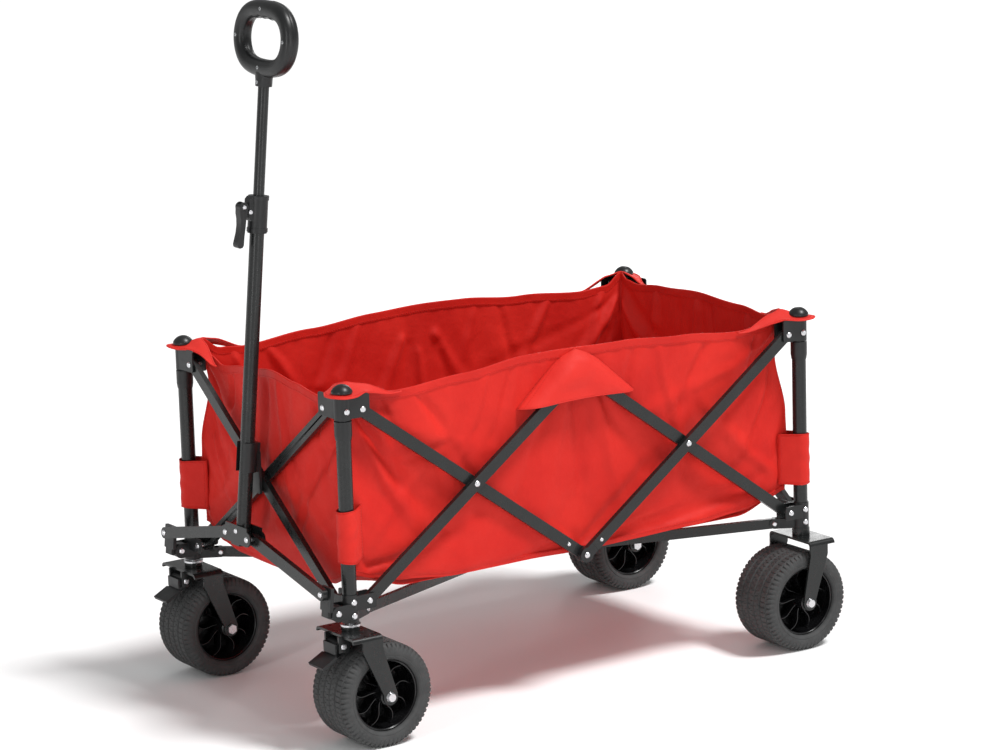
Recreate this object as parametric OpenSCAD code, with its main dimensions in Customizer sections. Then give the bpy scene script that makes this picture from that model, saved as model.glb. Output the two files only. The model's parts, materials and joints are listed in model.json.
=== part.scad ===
// Folding pull wagon: crossed-bar frame, telescopic corner posts, fabric tub, tilting telescopic handle,
// swivel casters in front and fixed wheels behind. Millimetres, +Z up, the pulled end faces -Y.

/* [Frame] */
// Level distance between the end pins of one crossed pair of bars, frame open
cross_w = 422; // [360:1:480]
// Height between the lower and upper pins, frame open
cross_h = 309; // [260:1:350]
// Height of the lower frame pins above the ground
pin_low_z = 234; // [228:1:260]
// From a post's axis to the pins of the side bars
side_pin_offset = 30; // [28:1:36]
// From a post's axis to the pins of the end bars
end_pin_offset = 39; // [34:1:46]
// Height of a bar's section
bar_h = 19; // [14:0.5:21]
// Thickness of a bar's section
bar_t = 9; // [6:0.5:9.2]
// Wall of the frame tubes
tube_wall = 1.2; // [0.8:0.1:1.8]
// Radius of the frame's rivets
pin_r = 3.5; // [2.5:0.1:4]
// Outer radius of the lower post tubes
post_r = 12; // [11:0.5:13]

/* [Wheels] */
// Outer radius of the tyres
tyre_r = 85; // [72:1:90]
// Width of the tyres
tyre_w = 98; // [70:1:104]
// Radius of the wheel rims
rim_r = 58; // [44:1:62]
// Radius of the wheel axles
axle_r = 6; // [4:0.5:7]
// Spokes in each rim
spokes = 9; // [5:1:12]
// How far a caster's axle trails behind its post
trail = 35; // [25:1:40]
// How far a rear axle sits in front of its post
rear_lead = 26; // [0:1:32]

/* [Handle] */
// Lean of the parked handle, degrees
lean = 5.8; // [4:0.1:8]
// Outer radius of the lower handle tube
handle_r = 11.75; // [10.5:0.25:13]
// Outer radius of the upper handle tube
upper_r = 9; // [7.5:0.25:9.5]
// Top of the lower handle tube, from the tilt axis
handle_low_top = 624; // [560:2:680]
// Bottom of the grip, from the tilt axis
grip_base = 819; // [790:2:880]
// Width of the grip
grip_w = 172; // [140:2:180]
// Height of the grip
grip_h = 120; // [105:1:130]
// Thickness of the grip
grip_t = 28; // [24:1:34]

/* [Tub] */
// Height of the tub's hem above the lower pins
tub_h = 338; // [300:1:350]
// Thickness of the tub's walls
tub_wall = 3; // [2:0.5:5]
// Thickness of the tub's padded floor
floor_t = 7; // [4:0.5:10]

/* [Floor frame] */
// Thickness of a floor strut
strut_t = 8; // [6:0.5:9]
// Height of a floor strut's section
strut_h = 17; // [12:0.5:18]
// Slope of an open floor strut towards the hub, degrees
strut_drop = 3.5; // [2:0.1:4]
// Radius of the hub plate
hub_r = 70; // [60:1:80]

/* [Hidden] */
$fn = 48;

black = "#2c2f30";
grey = "#3a3d3e";
zinc = "#c9cccf";
red = "#d8261f";
rubber = "#3b3c3d";

running = 0.05;         // radial gap of a pin that turns or seats in its hole
slide_gap = 0.3;        // radial gap of a telescoping tube
layer_gap = 1;          // gap between two bars that cross
plate_t = 2.5;          // sheet of the clevis plates
head_h = 1.6;           // height of a rivet's head
head_r = pin_r + 1.6;   // radius of a rivet's head
head_taper = 0.7;       // a head's outer radius over its inner one

// places of the frame
post_x = cross_w / 2 + end_pin_offset;
post_y = cross_w + side_pin_offset;
pin_top_z = pin_low_z + cross_h;
bar_len = sqrt(cross_w * cross_w + cross_h * cross_h);
bar_angle = atan(cross_h / cross_w);
layer = (bar_t + layer_gap) / 2;         // from the post line to a bar's middle plane
plate_in = bar_t + layer_gap / 2 + 1;    // from the post line to a plate's inner face
plate_out = plate_in + plate_t;
boss_r = plate_out + 0.8;                // the brackets' round bodies stand proud of the plates
post_low_z = pin_low_z - 31;             // underside of the lower brackets
post_bore = post_r - tube_wall;
inner_r = post_bore - slide_gap;
top_plate_z = pin_top_z + 25;            // upper face of the top brackets
top_low_z = pin_top_z - 14;              // underside of the top brackets
ferrule_h = 27;
ferrule_wall = 2;
tube_top_z = top_low_z - 5;
fold_max = 34;                           // degrees that the bars turn when the frame folds
fold_rise = bar_len * (sin(bar_angle + fold_max) - sin(bar_angle));
inner_grip = 40;                         // inner tube left inside the outer one when folded
cap_gap = 4;                             // room for the fabric under a post cap
ear_from = 21;                           // where a side bar's tube ends before its middle hinge
ear_r = 12.5;
ear_pin = 36;

// wheels and forks
axle_z = tyre_r;
leg_in = tyre_w / 2 + 3.5;
fork_t = 4;
leg_out = leg_in + fork_t;
fork_top_z = post_low_z - 13;
fork_bend = 8;
stem_r = 6;
nut_r = 8.5;
nut_h = 4.5;
rim_w = tyre_w - 16;
rim_hub_r = axle_r + 8;
pedal_y = -27;                           // brake pedal's pin, from the post
pedal_z = fork_top_z - 19;
pedal_len = 46;                          // from the pin to the tip of the pedal
pedal_slope = 28;

// handle, in a frame whose origin is the middle of the tilt axis and whose +Z runs up the tube
tilt_y = -post_y - 28;
tilt_z = pin_low_z - 12;
tube_y = -24;                            // handle tube's axis in front of the tilt axis
link_z = 31;
link_rise = 45;
channel_x = 34;                          // from the tube's axis to the link bars' pins
link_run = post_x - channel_x;
link_len = sqrt(link_run * link_run + link_rise * link_rise);
link_angle = atan(link_rise / link_run);
link_t = 10;
channel_z = link_z + link_rise;
channel_in = handle_r + 0.4;             // half the gap between the channel's plates
handle_low_z = channel_z - 10;
handle_bore = upper_r + slide_gap;
upper_low_z = 300;
collar_low = handle_low_top - 55;
collar_top = handle_low_top + 5;
collar_r = handle_r + 4;
lever_z = collar_top - 18;
lever_y = -collar_r - 14;
lever_len = 66;                          // from the lever's pin to its tip
lever_head = 8;                          // radius of the lever's cam head
lever_half = 8;                          // half the lever's width
tongue_half = 4;                         // half the width of the collar's tongue in the cam head
lever_pin = 2.5;
link_play = 26;                          // slot that lets the right link bar's rivet wander while folding

// floor struts run from each corner towards the middle
diag = sqrt(post_x * post_x + post_y * post_y);
diag_angle = atan(post_y / post_x);
strut_pin = 46;                          // from the post's axis, along the diagonal
strut_z = pin_low_z - 22;
hub_pin = 70;                            // hub's pin, from the middle of the floor
strut_end = 62;
strut_run = diag - strut_pin - hub_pin;
strut_len = strut_run / cos(strut_drop);
hub_z = strut_z - strut_run * tan(strut_drop);
strut_in = strut_t / 2 + 0.6;            // from a strut's middle plane to its ears
strut_out = strut_in + 2.4;

// tub
tub_x = post_x - plate_out - 3;
tub_y = post_y - plate_out - 3;
tub_low_z = pin_low_z + 1;

// the origin is the middle of the whole wagon's footprint
front_reach = post_y - pedal_y + pedal_len * cos(pedal_slope);
rear_reach = post_y - rear_lead + tyre_r;
shift_y = (front_reach - rear_reach) / 2;

// ---------- shared shapes ----------

// a rod along +X through sheets that lie between two places, with heads that stand a little clear of them
module rivet_x(x0, x1, r = pin_r, head = head_r) {
  low = x0 - running;
  high = x1 + running;
  translate([low, 0, 0]) rotate([0, 90, 0]) cylinder(h = high - low, r = r);
  translate([low - head_h, 0, 0]) rotate([0, 90, 0]) cylinder(h = head_h, r1 = head * head_taper, r2 = head);
  translate([high, 0, 0]) rotate([0, 90, 0]) cylinder(h = head_h, r1 = head, r2 = head * head_taper);
}

// the same rod along +Y
module rivet_y(y0, y1, r = pin_r, head = head_r) {
  rotate([0, 0, 90]) rivet_x(y0, y1, r, head);
}

// round rods along X and Y, by default the size of a rivet's hole
module rod_x(x0, x1, r = pin_r + running) {
  translate([x0, 0, 0]) rotate([0, 90, 0]) cylinder(h = x1 - x0, r = r);
}

module rod_y(y0, y1, r = pin_r + running) {
  translate([0, y0, 0]) rotate([-90, 0, 0]) cylinder(h = y1 - y0, r = r);
}

// flat bar from the origin along +X with round ends, height on Z and thickness on Y
module round_bar(len, h, t) {
  translate([0, -t / 2, -h / 2]) cube([len, t, h]);
  for (x = [0, len]) translate([x, -t / 2, 0]) rotate([-90, 0, 0]) cylinder(h = t, r = h / 2);
}

// hollow round-ended bar with a hole at each end and places listed in holes
module hollow_bar(len, h, t, holes) {
  difference() {
    round_bar(len, h, t);
    round_bar(len, h - 2 * tube_wall, t - 2 * tube_wall);
    for (x = holes) translate([x, 0, 0]) rod_y(-t, t);
  }
}

// places its children at a corner: side +1 is left, end +1 is the rear; local +X points outboard
// and local +Y points along the wagon's side towards its middle
module at_corner(side, end) {
  translate([side * post_x, end * post_y, 0])
    mirror([side < 0 ? 1 : 0, 0, 0])
      mirror([0, end > 0 ? 1 : 0, 0]) children();
}

// turns its children's +X to the horizontal line from a corner to the middle of the floor
module to_middle() {
  rotate([0, 0, 180 - diag_angle]) children();
}

module in_handle_frame() {
  translate([0, tilt_y, tilt_z]) rotate([-lean, 0, 0]) children();
}

// ---------- corner posts and brackets ----------

module post_tube(front) {
  color(black) {
    difference() {
      translate([0, 0, post_low_z]) cylinder(h = tube_top_z - post_low_z, r = post_r);
      translate([0, 0, post_low_z - 1]) cylinder(h = tube_top_z - post_low_z + 2, r = post_bore);
      for (z = [2, -20]) translate([0, 0, pin_low_z + z]) rod_x(0, post_r + 1, pin_r - 1 + running);
    }
    difference() {
      union() {
        translate([0, 0, tube_top_z - ferrule_h]) cylinder(h = 8, r1 = post_r + 0.8, r2 = post_r + ferrule_wall);
        translate([0, 0, tube_top_z - ferrule_h + 8]) cylinder(h = ferrule_h - 5, r = post_r + ferrule_wall);
      }
      translate([0, 0, tube_top_z - ferrule_h - 1]) cylinder(h = ferrule_h + 1 + running, r = post_r + running);
      translate([0, 0, tube_top_z]) cylinder(h = 4, r = post_bore);
    }
  }
  if (front) color(grey) difference() {
    translate([0, 0, post_low_z]) cylinder(h = 32, r = post_bore - running);
    translate([0, 0, post_low_z - 1]) cylinder(h = 34, r = stem_r + running);
  }
}

// two plates on either side of a line along +X, with a round far end
module clevis(len, low, high, nose = 4) {
  for (s = [-1, 1]) translate([0, s > 0 ? plate_in : -plate_out, 0]) {
    translate([0, 0, low]) cube([len - nose, plate_t, high - low]);
    translate([len - nose - 1, 0, low + nose]) cube([nose + 1, plate_t, high - low - 2 * nose]);
    for (z = [low + nose, high - nose])
      translate([len - nose, 0, z]) rotate([-90, 0, 0]) cylinder(h = plate_t, r = nose);
  }
}

module lower_bracket(front) {
  side_len = side_pin_offset + 12;
  end_len = end_pin_offset + 12;
  tilt_out = -tilt_y - post_y;
  color(black) difference() {
    union() {
      translate([0, 0, post_low_z]) cylinder(h = 45, r = boss_r);
      rotate([0, 0, 90]) clevis(side_len, pin_low_z - 12, pin_low_z + 12);
      rotate([0, 0, 180]) clevis(end_len, pin_low_z - 12, pin_low_z + 12);
      if (front) rotate([0, 0, -90]) tilt_clevis(tilt_out);
      to_middle() strut_clevis();
    }
    translate([0, 0, post_low_z - 1]) cylinder(h = 50, r = post_r + running);
    for (z = [2, -20]) translate([0, 0, pin_low_z + z]) rod_x(0, boss_r + 1, pin_r - 1 + running);
    translate([0, side_pin_offset, pin_low_z]) rod_x(-plate_out - 1, plate_out + 1);
    translate([-end_pin_offset, 0, pin_low_z]) rod_y(-plate_out - 1, plate_out + 1);
    if (front) translate([0, -tilt_out, tilt_z]) rod_x(-plate_out - 1, plate_out + 1);
    to_middle() translate([strut_pin, 0, strut_z]) rod_y(-strut_t, strut_t);
  }
  color(zinc) {
    translate([0, side_pin_offset, pin_low_z]) rivet_x(-plate_out, plate_out);
    translate([-end_pin_offset, 0, pin_low_z]) rivet_y(-plate_out, plate_out);
    if (front) translate([0, -tilt_out, tilt_z]) rivet_x(-plate_out, plate_out);
    to_middle() translate([strut_pin, 0, strut_z]) rivet_y(-strut_out, strut_out, pin_r, pin_r + 1);
    for (z = [2, -20]) translate([0, 0, pin_low_z + z]) cross_rivet(boss_r);
  }
}

// short blind rivet on the outboard face, through the boss and the tube wall
module cross_rivet(face) {
  translate([post_bore + 0.2, 0, 0]) rotate([0, 90, 0]) cylinder(h = face - post_bore, r = pin_r - 1);
  translate([face + 0.2, 0, 0]) rotate([0, 90, 0]) cylinder(h = head_h, r1 = head_r, r2 = head_r * head_taper);
}

// plates that carry the handle's tilt pin, with a round nose about the pin
module tilt_clevis(reach) {
  nose = 12.5;
  for (s = [-1, 1]) translate([0, s > 0 ? plate_in : -plate_out, tilt_z - nose]) {
    cube([reach, plate_t, 2 * nose]);
    translate([reach, 0, nose]) rotate([-90, 0, 0]) cylinder(h = plate_t, r = nose);
  }
}

// two small ears for a floor strut
module strut_clevis() {
  ear = 8.5;
  for (s = [-1, 1]) translate([0, s > 0 ? strut_in : -strut_out, strut_z - ear]) {
    cube([strut_pin, strut_out - strut_in, 2 * ear]);
    translate([strut_pin, 0, ear]) rotate([-90, 0, 0]) cylinder(h = strut_out - strut_in, r = ear);
  }
  translate([post_r - 1, -strut_out, strut_z - ear]) cube([14, 2 * strut_out, 2 * ear]);
}

module inner_tube() {
  low_z = tube_top_z - fold_rise - inner_grip;
  color(grey) difference() {
    translate([0, 0, low_z]) cylinder(h = top_plate_z - 3 - low_z, r = inner_r);
    translate([0, 0, low_z - 1]) cylinder(h = top_plate_z - low_z, r = inner_r - tube_wall);
    translate([0, 0, pin_top_z]) rod_x(0, inner_r + 1, pin_r - 1 + running);
  }
}

module top_bracket() {
  color(black) {
    difference() {
      union() {
        translate([0, 0, top_low_z]) cylinder(h = top_plate_z - top_low_z, r = boss_r);
        rotate([0, 0, 90]) clevis(side_pin_offset + 12, pin_top_z - 12, top_plate_z);
        rotate([0, 0, 180]) clevis(end_pin_offset + 12, pin_top_z - 12, top_plate_z);
      }
      translate([0, 0, top_low_z - 1]) cylinder(h = 60, r = inner_r + running);
      translate([0, 0, pin_top_z]) rod_x(0, boss_r + 1, pin_r - 1 + running);
      translate([0, side_pin_offset, pin_top_z]) rod_x(-plate_out - 1, plate_out + 1);
      translate([-end_pin_offset, 0, pin_top_z]) rod_y(-plate_out - 1, plate_out + 1);
    }
    post_cap();
  }
  color(zinc) {
    translate([0, side_pin_offset, pin_top_z]) rivet_x(-plate_out, plate_out);
    translate([-end_pin_offset, 0, pin_top_z]) rivet_y(-plate_out, plate_out);
    translate([inner_r - post_bore, 0, pin_top_z]) cross_rivet(boss_r + post_bore - inner_r);
  }
}

// domed screw cap whose plug sits in the inner tube
module post_cap() {
  dome_r = 17;
  dome_h = 11;
  ball_r = (dome_r * dome_r + dome_h * dome_h) / (2 * dome_h);
  base_z = top_plate_z + cap_gap;
  translate([0, 0, base_z]) cylinder(h = 2.5, r = dome_r);
  intersection() {
    translate([0, 0, base_z + 2.5]) cylinder(h = dome_h + 1, r = dome_r);
    translate([0, 0, base_z + 2.5 + dome_h - ball_r]) sphere(r = ball_r);
  }
  translate([0, 0, base_z - 30]) cylinder(h = 31, r = inner_r - tube_wall - running);
}

// ---------- crossed bars ----------

// bar of an end frame: from the lower pin of one post to the upper pin of the other
module end_bar(outer) {
  y = outer ? -layer : layer;
  color(black) translate([-cross_w / 2, y, outer ? pin_top_z : pin_low_z])
    rotate([0, outer ? bar_angle : -bar_angle, 0])
      hollow_bar(bar_len, bar_h, bar_t, [0, bar_len / 2, bar_len]);
  if (outer) color(zinc) translate([0, 0, pin_low_z + cross_h / 2])
    rivet_y(-layer - bar_t / 2 - 0.4, layer + bar_t / 2 + 0.4);
}

// side bar drawn along +X from its corner pin to its middle hinge, thickness on Y
module side_bar_shape() {
  color(black) {
    difference() {
      intersection() {
        round_bar(bar_len, bar_h, bar_t);
        translate([-bar_h, -bar_t, -bar_h]) cube([bar_len - ear_from + bar_h, 2 * bar_t, 2 * bar_h]);
      }
      round_bar(bar_len, bar_h - 2 * tube_wall, bar_t - 2 * tube_wall);
      for (x = [0, bar_len / 2]) translate([x, 0, 0]) rod_y(-bar_t, bar_t);
      translate([bar_len - ear_pin, 0, 0]) rod_y(-bar_t, bar_t, pin_r - 1 + running);
    }
    hinge_ear();
  }
  color(zinc) translate([bar_len - ear_pin, 0, 0])
    rivet_y(-bar_t / 2, bar_t / 2, pin_r - 1, pin_r);
}

// plastic ear that plugs into the end of a side bar
module hinge_ear() {
  tongue = bar_t - 2 * tube_wall - 0.2;
  x = bar_len;
  difference() {
    union() {
      translate([x, -bar_t / 2, 0]) rotate([-90, 0, 0]) cylinder(h = bar_t, r = ear_r);
      translate([x - ear_from + 0.3, -bar_t / 2, -bar_h / 2]) cube([ear_from - 0.3, bar_t, bar_h]);
      translate([x - ear_pin - 10, -tongue / 2, -bar_h / 2 + tube_wall + 0.1])
        cube([ear_pin, tongue, bar_h - 2 * tube_wall - 0.2]);
    }
    translate([x, 0, 0]) rod_y(-bar_t, bar_t);
    translate([x - ear_pin, 0, 0]) rod_y(-bar_t, bar_t, pin_r - 1 + running);
  }
}

// a and c run from the front and rear lower pins up to the top hinge, b and d from the upper pins down
// to the bottom hinge; a and d lie outboard
module side_bar(letter) {
  front = letter == "a" || letter == "b";
  rising = letter == "a" || letter == "c";
  outer = letter == "a" || letter == "d";
  mirror([0, front ? 0 : 1, 0])
    translate([post_x + (outer ? layer : -layer), -cross_w, rising ? pin_low_z : pin_top_z])
      rotate([0, 0, 90]) rotate([0, rising ? -bar_angle : bar_angle, 0]) side_bar_shape();
  half = layer + bar_t / 2;
  mid_y = (front ? -1 : 1) * cross_w / 2;
  if (outer) color(zinc) {
    translate([post_x, mid_y, pin_low_z + cross_h / 2]) rivet_x(-half - 0.4, half + 0.4);
    translate([post_x, 0, rising ? pin_top_z : pin_low_z]) rivet_x(-half - 0.4, half + 0.4);
  }
}

// ---------- handle linkage ----------

module link_block(open_slot) {
  reach = -tube_y + link_t / 2;
  width = 2 * plate_in - 0.8;
  back_y = tube_y + link_t / 2 + 0.4;
  color(black) difference() {
    union() {
      rotate([0, 90, 0]) translate([0, 0, -width / 2]) cylinder(h = width, r = 12);
      translate([-width / 2, back_y, -6]) cube([width, 12 - back_y - 4, 18]);
      translate([-15, back_y, 4]) cube([30, 6, link_z + 8]);
    }
    rod_x(-width, width);
    translate([0, 0, link_z]) rod_y(-reach - 1, 0);
    if (open_slot) translate([0, back_y - 1, link_z - pin_r - 0.6])
      cube([link_play, 8, 2 * pin_r + 1.2]);
  }
}

// link bar drawn along +X from its block's pin up to the handle bracket's pin; its rivets go with it
module link_bar() {
  color(black) rotate([0, -link_angle, 0]) hollow_bar(link_len, bar_h, link_t, [0, link_len]);
  color(zinc) {
    rivet_y(-link_t / 2 - 0.4, link_t / 2 + 6.9);
    translate([link_run, 0, link_rise]) rivet_y(-channel_in - plate_t, channel_in + plate_t);
  }
}

module handle_bracket() {
  half = channel_x + 12;
  color(black) translate([0, tube_y, 0]) difference() {
    union() {
      for (s = [-1, 1]) translate([0, s > 0 ? channel_in : -channel_in - plate_t, channel_z]) {
        translate([-channel_x, 0, -12]) cube([2 * channel_x, plate_t, 30]);
        for (x = [-channel_x, channel_x]) translate([x, 0, 0]) rotate([-90, 0, 0]) cylinder(h = plate_t, r = 12);
      }
      translate([-13, -channel_in - plate_t, channel_z - 15]) cube([26, 2 * (channel_in + plate_t), 4]);
    }
    for (x = [-channel_x, channel_x]) translate([x, 0, channel_z]) rod_y(-half, half);
    translate([0, 0, channel_z + 8]) rod_y(-half, half, 2.5 + running);
  }
  color(zinc) translate([0, tube_y, channel_z + 8])
    rivet_y(-channel_in - plate_t, channel_in + plate_t, 2.5, 4.5);
}

module handle_lower_tube() {
  color(black) translate([0, tube_y, 0]) difference() {
    translate([0, 0, handle_low_z]) cylinder(h = handle_low_top - handle_low_z, r = handle_r);
    translate([0, 0, handle_low_z - 1]) cylinder(h = handle_low_top, r = handle_bore);
    translate([0, 0, channel_z + 8]) rod_y(-handle_r - 1, handle_r + 1, 2.5 + running);
  }
}

module clamp_collar() {
  ear_front = lever_y + lever_head + 0.8;
  bolt_y = -collar_r - 2;
  bolt_z = collar_top - 26;
  color(black) translate([0, tube_y, 0]) difference() {
    union() {
      translate([0, 0, collar_low]) cylinder(h = collar_top - collar_low, r = collar_r);
      translate([0, 0, collar_low + 2]) cylinder(h = 6, r = collar_r + 1.2);
      translate([0, 0, collar_top - 7]) cylinder(h = 7, r = collar_r + 1.2);
      rotate([90, 0, 90]) translate([0, 0, -lever_half]) linear_extrude(2 * lever_half)
        polygon([[-handle_r, collar_top - 1], [ear_front + 4, collar_top - 1], [ear_front, collar_top - 6],
          [ear_front, collar_top - 34], [ear_front + 4, collar_top - 40], [-handle_r, collar_top - 40]]);
      translate([-tongue_half, lever_y, lever_z - 4.5]) cube([2 * tongue_half, -lever_y - collar_r, 9]);
      translate([0, lever_y, lever_z]) rod_x(-tongue_half, tongue_half, 4.5);
    }
    translate([0, 0, collar_low - 1]) cylinder(h = handle_low_top - collar_low + 1, r = handle_r + running);
    translate([0, 0, handle_low_top - 1]) cylinder(h = 20, r = upper_r + slide_gap);
    translate([0, lever_y, lever_z]) rod_x(-tongue_half - 1, tongue_half + 1, lever_pin + running);
    translate([0, bolt_y, bolt_z]) rod_x(-lever_half - 1, lever_half + 1, 2 + running);
  }
  color(zinc) translate([0, tube_y + lever_y, lever_z]) rivet_x(-lever_half, lever_half, lever_pin, 3.6);
  color(zinc) translate([0, tube_y + bolt_y, bolt_z]) rivet_x(-lever_half, lever_half, 2, 3.8);
}

// cam lever: a forked round head and a waisted finger plate that hangs in front of the collar
module clamp_lever() {
  slot = tongue_half + 0.4;
  cut = 6.3;
  color(black) translate([0, tube_y + lever_y, lever_z]) difference() {
    union() {
      rod_x(-lever_half, lever_half, lever_head);
      rotate([90, 0, 90]) translate([0, 0, -lever_half]) linear_extrude(2 * lever_half)
        polygon([[-7.5, -2], [-7.4, -10], [-5.4, -19], [-4.6, -30], [-5.6, -42], [-8.2, -54], [-9.4, 6 - lever_len],
          [-8.4, 2 - lever_len], [-5, -lever_len], [0, 1 - lever_len], [2.2, 5 - lever_len], [2.6, -46], [4, -30],
          [4.6, -18], [7.4, -3]]);
    }
    translate([-slot, -cut, -cut]) cube([2 * slot, 3 * cut, 3 * cut]);
    rod_x(-lever_half - 1, lever_half + 1, lever_pin + running);
  }
}

module handle_upper_tube() {
  color(black) translate([0, tube_y, 0]) difference() {
    translate([0, 0, upper_low_z]) cylinder(h = grip_base + 16 - upper_low_z, r = upper_r);
    translate([0, 0, upper_low_z - 1]) cylinder(h = grip_base + 20 - upper_low_z, r = upper_r - tube_wall);
  }
}

// outline of the grip: a flattened ring, wider than high
module grip_outline(inset) {
  r = grip_h / 2 - inset;
  run = grip_w / 2 - grip_h / 2;
  for (s = [-1, 1]) translate([s * run, 0]) circle(r = r, $fn = 64);
  square([2 * run, 2 * r], center = true);
}

// one half of the loop grip: the front half has the screws' heads
module grip_half(front) {
  t = grip_t / 2;
  mid_z = grip_base + grip_h / 2;
  wall = 25;
  y = front ? -t : 0.1;
  color(black) translate([0, tube_y, 0]) difference() {
    union() {
      translate([0, y + t - 0.1, mid_z]) rotate([90, 0, 0]) linear_extrude(t - 0.1) grip_outline(1.5);
      translate([0, (front ? y + t - 0.1 - 3 : y + t - 0.1), mid_z]) rotate([90, 0, 0])
        linear_extrude(t - 3.1) grip_outline(0);
      intersection() {
        translate([0, 0, grip_base - 16]) cylinder(h = 30, r = upper_r + 6);
        translate([-30, y, grip_base - 20]) cube([60, t - 0.1, 50]);
      }
    }
    translate([0, 20, mid_z]) rotate([90, 0, 0]) linear_extrude(40) hand_hole(wall);
    translate([0, 0, grip_base - 30]) cylinder(h = 46.2, r = upper_r + running);
  }
  if (front) color(zinc) for (p = [[-66, 0], [66, 0], [0, grip_h / 2 - 12], [0, 16 - grip_h / 2]])
    translate([p[0], tube_y - t - 0.9, mid_z + p[1]]) rotate([-90, 0, 0]) cylinder(h = 0.8, r = 3.4);
}

// opening for the hand with a finger-shaped upper edge
module hand_hole(wall) {
  h = grip_h / 2 - wall - 2;
  w = grip_w / 2 - wall;
  square([2 * (w - h), 2 * h], center = true);
  for (s = [-1, 1]) translate([s * (w - h), 0]) circle(r = h, $fn = 64);
  for (s = [-1, 0, 1]) translate([s * 24, h - 9.5]) circle(r = 13, $fn = 48);
}

// snap clip on the front frame that holds the parked handle
module handle_clip() {
  mid = pin_low_z + cross_h / 2;
  back_y = -post_y - layer - bar_t / 2 - 2.6;
  jaw_low = (mid + 14 - tilt_z) / cos(lean);
  jaw_h = 48;
  back_t = 4.5;
  color(black) difference() {
    union() {
      translate([-12, back_y - back_t, mid - 22]) cube([24, back_t, 70]);
      translate([0, 0, mid]) rod_y(back_y - back_t, back_y, 13);
      in_handle_frame() translate([0, tube_y, jaw_low]) {
        cylinder(h = jaw_h, r = handle_r + 5);
        translate([-11, 0, 0]) cube([22, handle_r + 6, jaw_h]);
      }
    }
    in_handle_frame() translate([0, tube_y, jaw_low - 80]) cylinder(h = 180, r = handle_r + 0.5);
    in_handle_frame() translate([-9.5, tube_y - 40, jaw_low - 5]) cube([19, 40, jaw_h + 10]);
  }
}

// ---------- floor frame ----------

// strut drawn from its corner pin along +X towards the middle
module floor_strut(with_pin) {
  tip = strut_len + (hub_pin - strut_end);
  color(black) to_middle() translate([strut_pin, 0, strut_z]) rotate([0, strut_drop, 0]) difference() {
    round_bar(tip - strut_h / 2, strut_h, strut_t);
    round_bar(tip - strut_h / 2, strut_h - 2 * tube_wall, strut_t - 2 * tube_wall);
    rod_y(-strut_t, strut_t);
    if (with_pin) translate([strut_len, 0, 0]) rod_y(-strut_t, strut_t);
  }
}

// round plate over the strut ends, hinged to the front left strut
module floor_hub() {
  ux = cos(diag_angle);
  uy = sin(diag_angle);
  ear_h = strut_h / 2 + 3;
  color(black) translate([0, 0, hub_z]) {
    difference() {
      union() {
        translate([0, 0, strut_h / 2 + 2]) cylinder(h = 4, r = hub_r);
        translate([0, 0, strut_h / 2 + 6]) cylinder(h = 2.5, r = hub_r - 25);
      }
      for (k = [0:3]) rotate([0, 0, 45 + 90 * k]) translate([hub_r - 14, 0, 0]) cylinder(h = 40, r = 3);
    }
    translate([ux * hub_pin, -uy * hub_pin, 0]) rotate([0, 0, 180 - diag_angle]) difference() {
      for (s = [-1, 1]) translate([-7, s > 0 ? strut_in : -strut_out, 0]) {
        cube([14, strut_out - strut_in, ear_h]);
        translate([7, 0, 0]) rotate([-90, 0, 0]) cylinder(h = strut_out - strut_in, r = 7);
      }
      rod_y(-strut_t, strut_t);
    }
  }
  color(zinc) translate([ux * hub_pin, -uy * hub_pin, hub_z]) rotate([0, 0, 180 - diag_angle])
    rivet_y(-strut_out, strut_out, pin_r, pin_r + 1);
}

// ---------- wheels ----------

// side view of a fork: the plate under the post and the leg down to the axle, drawn in Y and Z
module fork_side(axle_y, lead, back) {
  leg_lead = axle_y > 0 ? -13 : -lead;
  leg_back = axle_y > 0 ? back : 13;
  translate([-lead, fork_top_z - fork_bend]) square([lead + back, fork_bend]);
  polygon([[leg_lead, fork_top_z], [leg_back, fork_top_z], [leg_back, fork_top_z - 24],
    [axle_y + 12.6, axle_z + 5], [axle_y + 12, axle_z], [axle_y - 12, axle_z], [axle_y - 12.6, axle_z + 5],
    [leg_lead, fork_top_z - 24]]);
  translate([axle_y, axle_z]) circle(r = 13);
}

// bent plate of a fork: a U seen from the front, cut to its side view
module fork_plate(axle_y, lead, back) {
  intersection() {
    difference() {
      u_block(leg_out, fork_top_z, fork_bend);
      u_block(leg_in, fork_top_z - fork_t, fork_bend - fork_t);
    }
    rotate([90, 0, 90]) translate([0, 0, -leg_out - 1]) linear_extrude(2 * leg_out + 2)
      fork_side(axle_y, lead, back);
  }
}

// block with two rounded upper edges along Y
module u_block(half, top, r) {
  translate([-half, -90, 40]) cube([2 * half, 180, top - r - 40]);
  translate([-half + r, -90, 40]) cube([2 * (half - r), 180, top - 40]);
  for (s = [-1, 1]) translate([s * (half - r), -90, top - r]) rotate([-90, 0, 0]) cylinder(h = 180, r = r);
}

// axle bolt with its nut
module axle(axle_y) {
  color(zinc) translate([0, axle_y, axle_z]) {
    rod_x(-leg_out - 0.1, leg_out + 0.1, axle_r);
    translate([leg_out + 0.1, 0, 0]) rotate([0, 90, 0]) cylinder(h = nut_h, r1 = nut_r, r2 = nut_r - 2);
    translate([-leg_out - 0.1 - nut_h, 0, 0]) rotate([0, 90, 0]) cylinder(h = nut_h, r = nut_r, $fn = 6);
  }
}

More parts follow.
